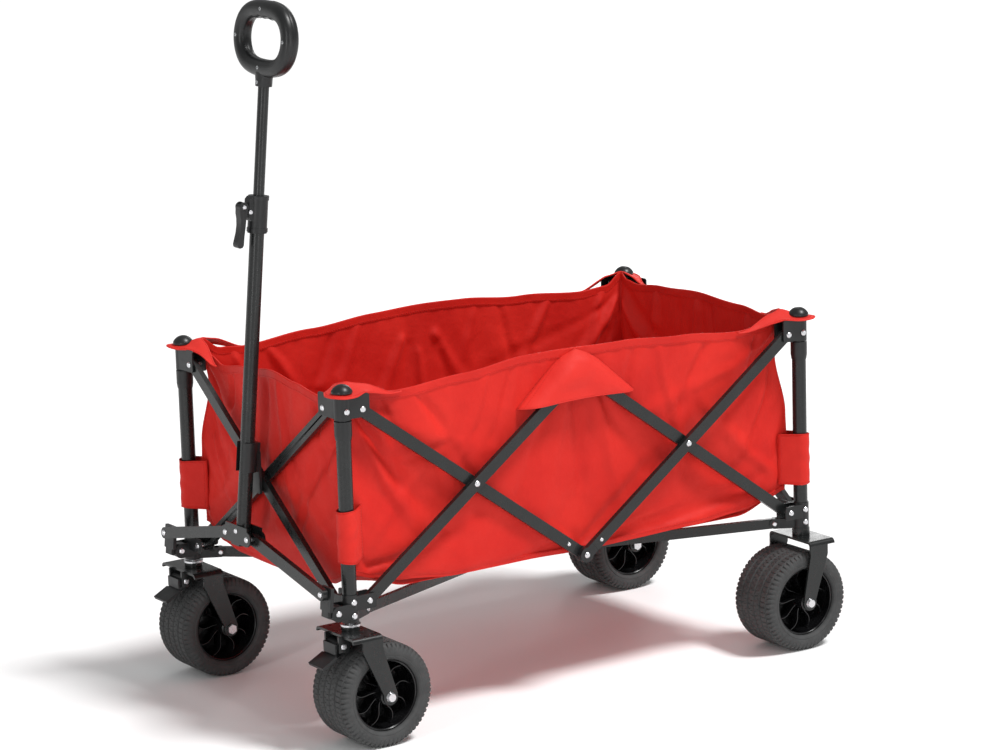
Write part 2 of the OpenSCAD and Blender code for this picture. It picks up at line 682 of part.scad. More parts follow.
// swivelling front fork in its corner's frame; the axle trails towards the wagon's middle
module caster_fork() {
  lead = 30;
  color(black) difference() {
    union() {
      fork_plate(trail, lead, 24);
      translate([0, 0, fork_top_z - 1]) cylinder(h = 8, r = 15);
      for (s = [-1, 1]) translate([s * 20 - 2, pedal_y - 9, pedal_z - 9]) cube([4, 20, 26]);
    }
    translate([0, trail, axle_z]) rod_x(-leg_out - 1, leg_out + 1, axle_r + running);
    translate([0, pedal_y, pedal_z]) rod_x(-30, 30);
    translate([0, 0, fork_top_z - 10]) cylinder(h = 30, r = stem_r + running);
  }
  color(zinc) {
    translate([0, 0, fork_top_z + 7.2]) cylinder(h = 3, r = 16.5);
    translate([0, 0, fork_top_z - 8]) cylinder(h = 52, r = stem_r);
    translate([0, 0, fork_top_z - 11]) cylinder(h = 6.5, r = 10, $fn = 6);
    translate([0, pedal_y, pedal_z]) rivet_x(-22, 22);
  }
  axle(trail);
}

// fixed rear fork in its corner's frame; the axle is a little towards the wagon's middle
module rear_fork() {
  color(black) difference() {
    union() {
      fork_plate(rear_lead, 28, 24);
      translate([0, 0, fork_top_z - 1]) cylinder(h = post_low_z - fork_top_z + 0.9, r = 15);
    }
    translate([0, rear_lead, axle_z]) rod_x(-leg_out - 1, leg_out + 1, axle_r + running);
  }
  axle(rear_lead);
}

// brake pedal in its corner's frame, pointing forwards, with a steel pad that presses on the tread
module brake_pedal() {
  half = 17.6;
  color(black) translate([0, pedal_y, pedal_z]) difference() {
    union() {
      rod_x(-half, half, 9);
      translate([-half, -14, -12]) cube([2 * half, 14, 17]);
      translate([-half - 4, 0, -6]) rotate([pedal_slope, 0, 0])
        translate([0, -pedal_len, -5]) cube([2 * half + 8, pedal_len - 16, 5]);
      translate([-half, 0, -6]) rotate([pedal_slope, 0, 0]) translate([0, -20, -5]) cube([2 * half, 16, 5]);
    }
    rod_x(-half - 1, half + 1);
  }
  color(zinc) translate([0, pedal_y, pedal_z]) rotate([pedal_slope, 0, 0])
    translate([-12, -40, -14]) cube([24, 30, 2]);
}

// ring with rounded shoulders and grooves round its tread
module tyre() {
  shoulder = 12;
  inner = rim_r + 0.05;
  color(rubber) rotate([0, 90, 0]) rotate_extrude($fn = 96) difference() {
    union() {
      translate([inner, -tyre_w / 2]) square([tyre_r - shoulder - inner, tyre_w]);
      translate([inner, -tyre_w / 2 + shoulder]) square([tyre_r - inner, tyre_w - 2 * shoulder]);
      for (s = [-1, 1]) translate([tyre_r - shoulder, s * (tyre_w / 2 - shoulder)]) circle(r = shoulder);
    }
    for (k = [-2:2]) translate([tyre_r - 2.5, k * 14 - 1]) square([4, 2]);
  }
}

module rim() {
  color(black) rotate([0, 90, 0]) difference() {
    union() {
      difference() {
        translate([0, 0, -rim_w / 2]) cylinder(h = rim_w, r = rim_r, $fn = 96);
        translate([0, 0, -rim_w / 2 - 1]) cylinder(h = rim_w + 2, r = rim_r - 4, $fn = 96);
      }
      translate([0, 0, -leg_in + 1]) cylinder(h = 2 * leg_in - 2, r = rim_hub_r);
      translate([0, 0, -2]) cylinder(h = 4, r = rim_r - 3);
      for (k = [0:spokes - 1]) rotate([0, 0, k * 360 / spokes])
        translate([rim_hub_r - 3, -1.5, -rim_w / 2 + 12]) cube([rim_r - rim_hub_r, 3, rim_w - 24]);
    }
    translate([0, 0, -leg_in]) cylinder(h = 2 * leg_in, r = axle_r + running);
  }
}

module wheel_place(side, end) {
  lead = end < 0 ? trail : rear_lead;
  translate([side * post_x, end * (post_y - lead), axle_z]) children();
}

// ---------- tub ----------

module basket() {
  r = 14;
  color(red) difference() {
    tub_block(tub_x, tub_y, tub_low_z, tub_low_z + tub_h, r);
    tub_block(tub_x - tub_wall, tub_y - tub_wall, tub_low_z + floor_t, tub_low_z + tub_h + 10, r - tub_wall);
  }
}

// upright block with four round corners
module tub_block(x, y, low, high, r) {
  translate([-x + r, -y, low]) cube([2 * (x - r), 2 * y, high - low]);
  translate([-x, -y + r, low]) cube([2 * x, 2 * (y - r), high - low]);
  for (sx = [-1, 1], sy = [-1, 1]) translate([sx * (x - r), sy * (y - r), low]) cylinder(h = high - low, r = r);
}

// ---------- the wagon ----------

module front_end() {
  translate([0, -post_y, 0]) children();
}

module rear_end() {
  mirror([0, 1, 0]) front_end() children();
}

module link_bar_place() {
  translate([-post_x, tube_y, link_z]) children();
}

module placed() {
  translate([0, shift_y, 0]) children();
}

placed() basket();
placed() at_corner(1, -1) post_tube(true);  // post_tube_front_left
placed() at_corner(-1, -1) post_tube(true);  // post_tube_front_right
placed() at_corner(1, 1) post_tube(false);  // post_tube_rear_left
placed() at_corner(-1, 1) post_tube(false);  // post_tube_rear_right
placed() at_corner(1, -1) lower_bracket(true);  // lower_bracket_front_left
placed() at_corner(-1, -1) lower_bracket(true);  // lower_bracket_front_right
placed() at_corner(1, 1) lower_bracket(false);  // lower_bracket_rear_left
placed() at_corner(-1, 1) lower_bracket(false);  // lower_bracket_rear_right
placed() at_corner(1, -1) inner_tube();  // inner_tube_front_left
placed() at_corner(-1, -1) inner_tube();  // inner_tube_front_right
placed() at_corner(1, 1) inner_tube();  // inner_tube_rear_left
placed() at_corner(-1, 1) inner_tube();  // inner_tube_rear_right
placed() at_corner(1, -1) top_bracket();  // top_bracket_front_left
placed() at_corner(-1, -1) top_bracket();  // top_bracket_front_right
placed() at_corner(1, 1) top_bracket();  // top_bracket_rear_left
placed() at_corner(-1, 1) top_bracket();  // top_bracket_rear_right
placed() front_end() end_bar(true);  // end_bar_front_outer
placed() front_end() end_bar(false);  // end_bar_front_inner
placed() rear_end() end_bar(true);  // end_bar_rear_outer
placed() rear_end() end_bar(false);  // end_bar_rear_inner
placed() side_bar("a");  // side_bar_left_a
placed() side_bar("b");  // side_bar_left_b
placed() side_bar("c");  // side_bar_left_c
placed() side_bar("d");  // side_bar_left_d
placed() mirror([1, 0, 0]) side_bar("a");  // side_bar_right_a
placed() mirror([1, 0, 0]) side_bar("b");  // side_bar_right_b
placed() mirror([1, 0, 0]) side_bar("c");  // side_bar_right_c
placed() mirror([1, 0, 0]) side_bar("d");  // side_bar_right_d
placed() in_handle_frame() translate([post_x, 0, 0]) link_block(false);  // link_block_left
placed() in_handle_frame() translate([-post_x, 0, 0]) mirror([1, 0, 0]) link_block(true);  // link_block_right
placed() in_handle_frame() mirror([1, 0, 0]) link_bar_place() link_bar();  // link_bar_left
placed() in_handle_frame() link_bar_place() link_bar();  // link_bar_right
placed() in_handle_frame() handle_bracket();
placed() in_handle_frame() handle_lower_tube();
placed() in_handle_frame() clamp_collar();
placed() in_handle_frame() clamp_lever();
placed() in_handle_frame() handle_upper_tube();
placed() in_handle_frame() grip_half(true);  // grip_front
placed() in_handle_frame() grip_half(false);  // grip_back
placed() handle_clip();
placed() floor_hub();
placed() at_corner(1, -1) floor_strut(true);  // floor_strut_front_left
placed() at_corner(-1, -1) floor_strut(false);  // floor_strut_front_right
placed() at_corner(1, 1) floor_strut(false);  // floor_strut_rear_left
placed() at_corner(-1, 1) floor_strut(false);  // floor_strut_rear_right
placed() at_corner(1, -1) caster_fork();  // caster_fork_left
placed() at_corner(-1, -1) caster_fork();  // caster_fork_right
placed() at_corner(1, 1) rear_fork();  // rear_fork_left
placed() at_corner(-1, 1) rear_fork();  // rear_fork_right
placed() at_corner(1, -1) brake_pedal();  // brake_pedal_left
placed() at_corner(-1, -1) brake_pedal();  // brake_pedal_right
placed() wheel_place(1, -1) tyre();  // tyre_front_left
placed() wheel_place(-1, -1) tyre();  // tyre_front_right
placed() wheel_place(1, 1) tyre();  // tyre_rear_left
placed() wheel_place(-1, 1) tyre();  // tyre_rear_right
placed() wheel_place(1, -1) rim();  // rim_front_left
placed() wheel_place(-1, -1) rim();  // rim_front_right
placed() wheel_place(1, 1) rim();  // rim_rear_left
placed() wheel_place(-1, 1) rim();  // rim_rear_right
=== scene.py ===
import json
import math

import bmesh
import bpy
import numpy as np
from mathutils import Matrix, Vector, noise


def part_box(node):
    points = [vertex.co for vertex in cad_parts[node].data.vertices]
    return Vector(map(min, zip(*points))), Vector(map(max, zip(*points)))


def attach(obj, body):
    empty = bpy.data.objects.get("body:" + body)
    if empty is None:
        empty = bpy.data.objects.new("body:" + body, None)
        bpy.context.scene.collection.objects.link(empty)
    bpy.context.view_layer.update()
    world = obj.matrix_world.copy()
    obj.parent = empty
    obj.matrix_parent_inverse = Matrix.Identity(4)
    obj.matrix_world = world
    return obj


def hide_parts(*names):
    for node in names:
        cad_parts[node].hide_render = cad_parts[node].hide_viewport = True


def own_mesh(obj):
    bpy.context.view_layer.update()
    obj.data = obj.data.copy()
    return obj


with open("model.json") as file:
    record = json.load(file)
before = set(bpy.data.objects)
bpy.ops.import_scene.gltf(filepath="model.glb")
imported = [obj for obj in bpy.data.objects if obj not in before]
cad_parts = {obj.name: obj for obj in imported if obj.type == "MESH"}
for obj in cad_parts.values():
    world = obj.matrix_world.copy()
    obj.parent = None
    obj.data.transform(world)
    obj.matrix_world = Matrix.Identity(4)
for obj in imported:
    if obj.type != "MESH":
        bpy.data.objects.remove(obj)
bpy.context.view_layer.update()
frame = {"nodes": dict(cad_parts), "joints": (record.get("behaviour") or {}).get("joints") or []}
MM = 0.001


# ---------- places, all from the frame ----------

def middle(node):
    low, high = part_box(node)
    return (low + high) / 2


CORNERS = {"front_left": (1, -1), "front_right": (-1, -1), "rear_left": (1, 1), "rear_right": (-1, 1)}
joint_place = {j["name"]: Vector(j["pos_m"]) for j in frame["joints"] if "pos_m" in j}
tub_low, tub_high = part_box("basket")
tub_x = tub_high.x
tub_y = (tub_high.y - tub_low.y) / 2
mid_y = (tub_high.y + tub_low.y) / 2
floor_z = tub_low.z
tub_h = tub_high.z - tub_low.z
post_x = middle("post_tube_front_left").x
post_y = middle("post_tube_rear_left").y - mid_y
post_r = 12 * MM
plate_z = joint_place["fold_front_left_top"].z + 25 * MM       # upper face of the top brackets
FOLD_KEEP_X = 0.476                                            # width and length that the folded tub keeps
FOLD_KEEP_Y = 0.438


# ---------- small helpers ----------

def smooth(t):
    t = min(max(t, 0.0), 1.0)
    return t * t * (3 - 2 * t)


def mix(a, b, t):
    return a + (b - a) * t


def curve(points, t):
    """Smooth value at t of a list of (t, value) pairs in rising t."""
    if t <= points[0][0]:
        return points[0][1]
    for (t0, v0), (t1, v1) in zip(points, points[1:]):
        if t <= t1:
            return mix(v0, v1, smooth((t - t0) / (t1 - t0)))
    return points[-1][1]


def make_object(name, vertices, faces, material, shade=True):
    mesh = bpy.data.meshes.new(name)
    mesh.from_pydata([tuple(v) for v in vertices], [], faces)
    mesh.materials.append(material)
    mesh.validate()
    mesh.update()
    if shade:
        mesh.shade_smooth()
    piece = bpy.data.objects.new(name, mesh)
    bpy.context.scene.collection.objects.link(piece)
    return piece


def grid(columns, rows, point, close_u=False):
    """Vertices and faces of a sheet of columns by rows cells; point takes u and v from 0 to 1."""
    nu = columns if close_u else columns + 1
    vertices = [point(i / columns, j / rows) for j in range(rows + 1) for i in range(nu)]
    faces = []
    for j in range(rows):
        for i in range(columns):
            a = j * nu + i
            b = j * nu + (i + 1) % nu
            c = (j + 1) * nu + (i + 1) % nu
            d = (j + 1) * nu + i
            faces.append((a, b, c, d))
    return vertices, faces


def sweep(path, section):
    """Closed section of (side, up) points swept along a path of (point, side direction, up direction)."""
    n = len(section)
    vertices = [p + s * a + u * b for p, s, u in path for a, b in section]
    faces = []
    for k in range(len(path) - 1):
        a, b = k * n, (k + 1) * n
        faces += [(a + i, a + (i + 1) % n, b + (i + 1) % n, b + i) for i in range(n)]
    faces.append(tuple(range(n - 1, -1, -1)))
    faces.append(tuple((len(path) - 1) * n + i for i in range(n)))
    return vertices, faces


def ring(radius, sides):
    turns = [2 * math.pi * i / sides for i in range(sides)]
    return [(radius * math.cos(turn), radius * math.sin(turn)) for turn in turns]


def frames_along(points, up=Vector((0, 0, 1))):
    """The path that sweep wants, with sides square to the points' direction."""
    path = []
    for i, p in enumerate(points):
        ahead = points[min(i + 1, len(points) - 1)] - points[max(i - 1, 0)]
        side = ahead.cross(up)
        if side.length < 1e-9:
            side = ahead.cross(Vector((1, 0, 0)))
        side.normalize()
        path.append((p, side, side.cross(ahead).normalized()))
    return path


def tube(points, radius, sides=8, up=Vector((0, 0, 1))):
    return sweep(frames_along(points, up), ring(radius, sides))


def joined(parts):
    vertices, faces = [], []
    for v, f in parts:
        base = len(vertices)
        vertices += v
        faces += [tuple(i + base for i in face) for face in f]
    return vertices, faces


def lathe(profile, segments):
    """Profile of (radius, along X) points turned about +X."""
    vertices, faces = [], []
    n = len(profile)
    for k in range(segments):
        a = 2 * math.pi * k / segments
        vertices += [Vector((x, r * math.cos(a), r * math.sin(a))) for r, x in profile]
    for k in range(segments):
        a, b = k * n, ((k + 1) % segments) * n
        faces += [(a + i, a + i + 1, b + i + 1, b + i) for i in range(n - 1)]
    return vertices, faces


def thicken(piece, thickness):
    solid = piece.modifiers.new("thickness", "SOLIDIFY")
    solid.thickness = thickness
    solid.offset = 0.0


def face_out(mesh):
    """Makes a mesh's faces agree in direction, outward."""
    work = bmesh.new()
    work.from_mesh(mesh)
    bmesh.ops.recalc_face_normals(work, faces=work.faces)
    work.to_mesh(mesh)
    work.free()


# ---------- materials ----------

def new_material(name, colour, roughness, metallic=0.0):
    material = bpy.data.materials.new(name)
    material.use_nodes = True
    tree = material.node_tree
    shader = tree.nodes["Principled BSDF"]
    shader.inputs["Base Color"].default_value = (*colour, 1)
    shader.inputs["Roughness"].default_value = roughness
    shader.inputs["Metallic"].default_value = metallic
    place = tree.nodes.new("ShaderNodeTexCoord")
    return material, tree, shader, place.outputs["Object"]


def noise_of(tree, place, scale, detail=4.0, rough=0.55):
    node = tree.nodes.new("ShaderNodeTexNoise")
    node.inputs["Scale"].default_value = scale
    node.inputs["Detail"].default_value = detail
    node.inputs["Roughness"].default_value = rough
    tree.links.new(place, node.inputs["Vector"])
    return node.outputs["Fac"]


def ramp(tree, value, stops):
    node = tree.nodes.new("ShaderNodeValToRGB")
    tree.links.new(value, node.inputs["Fac"])
    while len(node.color_ramp.elements) < len(stops):
        node.color_ramp.elements.new(0.5)
    for element, (at, colour) in zip(node.color_ramp.elements, stops):
        element.position = at
        element.color = (*colour, 1) if hasattr(colour, "__len__") else (colour, colour, colour, 1)
    return node.outputs["Color"]


def bump(tree, shader, height, strength, distance, below=None):
    node = tree.nodes.new("ShaderNodeBump")
    node.inputs["Strength"].default_value = strength
    node.inputs["Distance"].default_value = distance
    tree.links.new(height, node.inputs["Height"])
    if below is not None:
        tree.links.new(below, node.inputs["Normal"])
    tree.links.new(node.outputs["Normal"], shader.inputs["Normal"])
    return node.outputs["Normal"]


def total_of(tree, a, b):
    node = tree.nodes.new("ShaderNodeMath")
    node.operation = "ADD"
    tree.links.new(a, node.inputs[0])
    tree.links.new(b, node.inputs[1])
    return node.outputs[0]


def vary_roughness(tree, shader, value, low, high):
    tree.links.new(ramp(tree, value, [(0.3, low), (0.7, high)]), shader.inputs["Roughness"])


WAVE_SCALE = 0.314              # scale that gives a wave texture one band for each metre


def threads(tree, place, direction, spacing):
    """Rounded threads that repeat at a spacing along X, Y or Z."""
    node = tree.nodes.new("ShaderNodeTexWave")
    node.wave_type = "BANDS"
    node.bands_direction = direction
    node.inputs["Scale"].default_value = WAVE_SCALE / spacing
    node.inputs["Distortion"].default_value = 0.15
    tree.links.new(place, node.inputs["Vector"])
    return node.outputs["Fac"]


THREAD_PITCH = 1.1 * MM


def fabric_material(name, dark, light, roughness=0.62):
    """Coarse woven polyester: cloudy colour, a bumpy weave and soft ridged creases."""
    material, tree, shader, place = new_material(name, light, roughness)
    cloud = noise_of(tree, place, 9, 5)
    tree.links.new(ramp(tree, cloud, [(0.3, dark), (0.7, light)]), shader.inputs["Base Color"])
    upright = threads(tree, place, "Z", THREAD_PITCH)
    level = total_of(tree, threads(tree, place, "X", THREAD_PITCH), threads(tree, place, "Y", THREAD_PITCH))
    weave = total_of(tree, upright, level)
    ridged = tree.nodes.new("ShaderNodeTexNoise")
    ridged.noise_type = "RIDGED_MULTIFRACTAL"
    ridged.inputs["Scale"].default_value = 7
    ridged.inputs["Detail"].default_value = 3
    ridged.inputs["Roughness"].default_value = 0.45
    ridged.inputs["Distortion"].default_value = 0.4
    tree.links.new(place, ridged.inputs["Vector"])
    creases = total_of(tree, ridged.outputs["Fac"], noise_of(tree, place, 30, 3, 0.5))
    soft = bump(tree, shader, creases, 0.5, 4.5 * MM)
    bump(tree, shader, weave, 0.22, 0.12 * MM, soft)
    vary_roughness(tree, shader, noise_of(tree, place, 300, 2), roughness - 0.06, roughness + 0.06)
    shader.inputs["Sheen Weight"].default_value = 0.06
    shader.inputs["Sheen Roughness"].default_value = 0.4
    shader.inputs["Sheen Tint"].default_value = (1.0, 0.4, 0.35, 1)
    shader.inputs["Specular IOR Level"].default_value = 0.22
    return material


def painted_material(name, colour, roughness, grain=900, strength=0.07):
    """Powder coat or moulded plastic: fine grain, slightly lighter scuffs and uneven gloss."""
    material, tree, shader, place = new_material(name, colour, roughness)
    scuff = noise_of(tree, place, 26, 6, 0.7)
    lighter = tuple(c * 1.3 + 0.002 for c in colour)
    tree.links.new(ramp(tree, scuff, [(0.45, colour), (0.75, lighter)]), shader.inputs["Base Color"])
    vary_roughness(tree, shader, noise_of(tree, place, 60, 4), roughness - 0.04, roughness + 0.05)
    bump(tree, shader, noise_of(tree, place, grain, 2), strength, 0.15 * MM)
    shader.inputs["Specular IOR Level"].default_value = 0.42
    return material


def metal_material(name, colour, roughness):
    material, tree, shader, place = new_material(name, colour, roughness, 1.0)
    vary_roughness(tree, shader, noise_of(tree, place, 420, 4), roughness - 0.08, roughness + 0.12)
    bump(tree, shader, noise_of(tree, place, 700, 3), 0.15, 0.1 * MM)
    return material


def rubber_material():
    material, tree, shader, place = new_material("tyre_rubber", (0.03, 0.031, 0.032), 0.75)
    dust = noise_of(tree, place, 45, 6, 0.65)
    tree.links.new(ramp(tree, dust, [(0.35, (0.030, 0.0305, 0.031)), (0.75, (0.062, 0.063, 0.063))]),
                   shader.inputs["Base Color"])
    vary_roughness(tree, shader, dust, 0.62, 0.84)
    bump(tree, shader, noise_of(tree, place, 1100, 3), 0.3, 0.2 * MM)
    return material


RED = fabric_material("red_polyester", (0.53, 0.011, 0.007), (0.64, 0.021, 0.013))
RED_TAB = fabric_material("red_polyester_flap", (0.60, 0.020, 0.014), (0.68, 0.030, 0.021))
RED_BINDING = fabric_material("red_binding", (0.50, 0.010, 0.006), (0.60, 0.018, 0.011), 0.5)
THREAD = fabric_material("red_thread", (0.46, 0.009, 0.006), (0.58, 0.014, 0.01), 0.45)
COAT = painted_material("powder_coat", (0.009, 0.010, 0.010), 0.28)
INNER_COAT = painted_material("inner_tube_coat", (0.009, 0.010, 0.0105), 0.22)
MOULDED = painted_material("moulded_plastic", (0.009, 0.0095, 0.010), 0.42, 520, 0.16)
GRIP_PLASTIC = painted_material("grip_plastic", (0.0075, 0.008, 0.0085), 0.36, 700, 0.14)
GLOSS = painted_material("gloss_plastic", (0.004, 0.004, 0.0045), 0.2, 300, 0.05)
ZINC = metal_material("zinc_plate", (0.66, 0.66, 0.68), 0.28)
STEEL = metal_material("pressed_steel", (0.42, 0.43, 0.44), 0.36)
RUBBER = rubber_material()


# ---------- CAD nodes that stay: materials by solid, and softened edges ----------

def islands(mesh):
    """Lists of polygon numbers, one list for each separate solid of a CAD node."""
    keys = {}
    parent = []

    def root(i):
        while parent[i] != i:
            parent[i] = parent[parent[i]]
            i = parent[i]
        return i

    place = []
    for v in mesh.vertices:
        key = tuple(round(c * 1e5) for c in v.co)
        if key not in keys:
            keys[key] = len(parent)
            parent.append(len(parent))
        place.append(keys[key])
    for polygon in mesh.polygons:
        first = root(place[polygon.vertices[0]])
        for i in polygon.vertices[1:]:
            parent[root(place[i])] = first
    found = {}
    for polygon in mesh.polygons:
        found.setdefault(root(place[polygon.vertices[0]]), []).append(polygon.index)
    return list(found.values())


def size_of(mesh, polygons):
    points = [mesh.vertices[i].co for p in polygons for i in mesh.polygons[p].vertices]
    low = Vector(map(min, *points))
    high = Vector(map(max, *points))
    return (high - low).length


def highest(mesh, polygons):
    return max(mesh.vertices[i].co.z for p in polygons for i in mesh.polygons[p].vertices)


def dress(node, main, small=ZINC, ear=None, ear_size=42 * MM, edge=0.7 * MM):
    """Main material on the node's largest solid, ear on other large ones and small on its fasteners."""
    piece = frame["nodes"][node]
    mesh = piece.data
    mesh.materials.clear()
    for material in (main, small, ear or small):
        mesh.materials.append(material)
    solids = sorted(islands(mesh), key=lambda p: -size_of(mesh, p))
    for rank, polygons in enumerate(solids):
        slot = 0 if rank == 0 else 2 if ear and size_of(mesh, polygons) > ear_size else 1
        if slot == 1 and node.startswith("top_bracket") and highest(mesh, polygons) > plate_z + 1 * MM:
            slot = 2
        for p in polygons:
            mesh.polygons[p].material_index = slot
    weld = piece.modifiers.new("weld", "WELD")
    weld.merge_threshold = 0.01 * MM
    bevel = piece.modifiers.new("soft_edges", "BEVEL")
    bevel.width = edge
    bevel.segments = 2
    bevel.limit_method = "ANGLE"
    bevel.angle_limit = math.radians(42)
    bevel.use_clamp_overlap = True
    bevel.harden_normals = True
    mesh.shade_smooth()
    by_angle = piece.modifiers.new("flat_faces", "WEIGHTED_NORMAL")
    by_angle.keep_sharp = True


def dress_frame():
    for node in frame["nodes"]:
        if node.startswith(("end_bar", "link_bar")):
            dress(node, COAT, edge=1.6 * MM)
        elif node.startswith("side_bar"):
            dress(node, COAT, ZINC, MOULDED, edge=1.4 * MM)
        elif node.startswith("post_tube"):
            dress(node, COAT, MOULDED, MOULDED, edge=0.5 * MM)
        elif node.startswith("top_bracket"):
            dress(node, MOULDED, ZINC, GRIP_PLASTIC, 100 * MM)
        elif node.startswith(("lower_bracket", "clamp_collar")):
            dress(node, MOULDED)
        elif node.startswith("inner_tube"):
            dress(node, INNER_COAT, edge=0.3 * MM)
        elif node.startswith("brake_pedal"):
            dress(node, MOULDED, STEEL)
        elif node.startswith(("link_block", "clamp_lever", "handle_clip", "floor_hub")):
            dress(node, MOULDED)
        elif node.startswith(("caster_fork", "rear_fork", "handle", "floor_strut")):
            dress(node, COAT)


# ---------- the tub's outline ----------

# how far the corner seams stand in from the tub's box, by height
CORNER_INSET = [(0.0, 5 * MM), (0.12, 4 * MM), (0.36, 1 * MM), (0.5, 2 * MM), (0.8, 14 * MM), (1.0, 6 * MM)]
# heights over the tub's underside, by the share of the half length from the middle
SIDE_HEM = [(0.0, 342 * MM), (0.22, 341 * MM), (0.5, 331 * MM), (0.8, 321 * MM), (0.92, 325 * MM),
            (1.0, 346 * MM)]
SIDE_FOOT = [(0.0, 3 * MM), (0.25, 5 * MM), (0.55, 6 * MM), (0.78, 14 * MM), (0.92, 26 * MM), (1.0, 36 * MM)]
END_HEM = {-1: [(0.0, 330 * MM), (0.35, 322 * MM), (0.7, 311 * MM), (0.88, 322 * MM), (1.0, 346 * MM)],
           1: [(0.0, 339 * MM), (0.5, 336 * MM), (0.8, 330 * MM), (0.92, 334 * MM), (1.0, 346 * MM)]}
END_FOOT = [(0.0, 4 * MM), (0.5, 5 * MM), (0.75, 12 * MM), (1.0, 36 * MM)]
HEM_BAND = 14 * MM
CORNER_REACH = 95 * MM      # how far from a corner seam its pull is felt
CLOTH_T = 0.9 * MM
SIDE_CELLS = (132, 46)      # columns and rows of a wall's mesh
END_CELLS = (76, 46)
TRIM_STEPS = 120            # steps of the hems and bindings along a wall
SPARE_CLOTH = 0.005         # share by which a wall is larger than its place before it buckles
OUT_MOST = 4.6 * MM         # soft limits of a wall's folds
IN_MOST = 16 * MM


def inset(height):
    return curve(CORNER_INSET, height / tub_h)


def side_edges(side, s):
    """Foot and hem heights above the tub's underside, at s from 0 in front to 1 at the rear."""
    share = abs(2 * s - 1)
    wave = 1.6 * MM * math.sin(17 * s + side)
    return curve(SIDE_FOOT, share) + wave * 0.6, curve(SIDE_HEM, share) + wave * (1 - smooth(share))


def side_wall(side, s, t):
    foot, hem = side_edges(side, s)
    height = mix(foot, hem, t)
    pull = inset(height)
    y = mid_y + (2 * s - 1) * (tub_y - pull)
    from_corner = min(s, 1 - s) * 2 * tub_y
    x = tub_x - pull * math.exp(-((from_corner / CORNER_REACH) ** 2))
    return Vector((side * x, y, floor_z + height))


def end_edges(end, s):
    share = abs(2 * s - 1)
    wave = 1.4 * MM * math.sin(15 * s + end)
    return curve(END_FOOT, share), curve(END_HEM[end], share) + wave * (1 - smooth(share))


def end_wall(end, s, t):
    foot, hem = end_edges(end, s)
    height = mix(foot, hem, t)
    pull = inset(height)
    x = (2 * s - 1) * (tub_x - pull)
    from_corner = min(s, 1 - s) * 2 * tub_x
    y = tub_y - pull * math.exp(-((from_corner / CORNER_REACH) ** 2))
    return Vector((x, mid_y + end * y, floor_z + height))


# ---------- cloth ----------

def held_rows(columns, rows, hem_share):
    """Vertex numbers of the borders and of the rows under the hem band."""
    kept = []
    for j in range(rows + 1):
        for i in range(columns + 1):
            if i in (0, columns) or j in (0, rows) or j / rows > 1 - hem_share:
                kept.append(j * (columns + 1) + i)
    return kept


def settle(pieces, grow, steps=24):
    """Lets pieces of (object, held vertices) buckle under their own spare cloth, with the rest held."""
    scene = bpy.context.scene
    for piece, held in pieces:
        group = piece.vertex_groups.new(name="held")
        group.add(held, 1.0, "REPLACE")
        cloth = piece.modifiers.new("cloth", "CLOTH")
        cloth.settings.quality = 6
        cloth.settings.mass = 0.18
        cloth.settings.tension_stiffness = 25
        cloth.settings.compression_stiffness = 25
        cloth.settings.shear_stiffness = 12
        cloth.settings.bending_stiffness = 12
        cloth.settings.air_damping = 2
        cloth.settings.vertex_group_mass = "held"
        cloth.settings.shrink_min = -grow
        cloth.collision_settings.use_collision = False
        cloth.point_cache.frame_start = 1
        cloth.point_cache.frame_end = steps
    for step in range(1, steps + 1):
        scene.frame_set(step)
    depsgraph = bpy.context.evaluated_depsgraph_get()
    settled = [bpy.data.meshes.new_from_object(piece.evaluated_get(depsgraph)) for piece, _ in pieces]
    for (piece, _), mesh in zip(pieces, settled):
        piece.modifiers.clear()
        piece.vertex_groups.clear()
        piece.data = mesh
    scene.frame_set(1)


def limit(piece, flat, outward, out_most, in_most):
    """Keeps each vertex within soft limits of its flat place, outward and inward."""
    for vertex, rest in zip(piece.data.vertices, flat):
        moved = (vertex.co - rest).dot(outward)
        most = out_most if moved > 0 else in_most
        vertex.co += outward * (most * math.tanh(moved / most) - moved)


# folds in a wall: from (s, t), to (s, t), height of the ridge and half width in millimetres
SIDE_FOLDS = [
    ((0.015, 0.84), (0.22, 0.22), -9, 15), ((0.02, 0.90), (0.34, 0.55), 7, 11),
    ((0.03, 0.74), (0.14, 0.30), 6, 11), ((0.02, 0.12), (0.15, 0.58), 6, 13),
    ((0.03, 0.05), (0.28, 0.30), -7, 14), ((0.07, 0.95), (0.11, 0.50), -6, 10),
    ((0.15, 0.95), (0.27, 0.45), -7, 13), ((0.30, 0.96), (0.22, 0.50), 5, 10),
    ((0.36, 0.96), (0.31, 0.66), -5, 9), ((0.46, 0.84), (0.36, 0.30), -7, 14),
    ((0.48, 0.80), (0.42, 0.22), 5, 11), ((0.54, 0.84), (0.66, 0.36), -7, 14),
    ((0.50, 0.76), (0.52, 0.16), -5, 13), ((0.55, 0.80), (0.60, 0.22), 5, 10),
    ((0.48, 0.06), (0.30, 0.34), 6, 13), ((0.52, 0.05), (0.70, 0.42), -8, 14),
    ((0.985, 0.86), (0.76, 0.30), -9, 16), ((0.98, 0.90), (0.66, 0.62), 7, 11),
    ((0.98, 0.10), (0.82, 0.60), 7, 13), ((0.97, 0.72), (0.88, 0.30), 6, 11),
    ((0.95, 0.95), (0.90, 0.45), -6, 10), ((0.82, 0.96), (0.73, 0.52), -6, 12),
    ((0.70, 0.95), (0.75, 0.45), 5, 10), ((0.64, 0.95), (0.61, 0.70), -4, 9),
    ((0.08, 0.05), (0.44, 0.12), 5, 10), ((0.58, 0.08), (0.92, 0.20), 5, 10),
    ((0.10, 0.62), (0.30, 0.72), -4, 9),
]
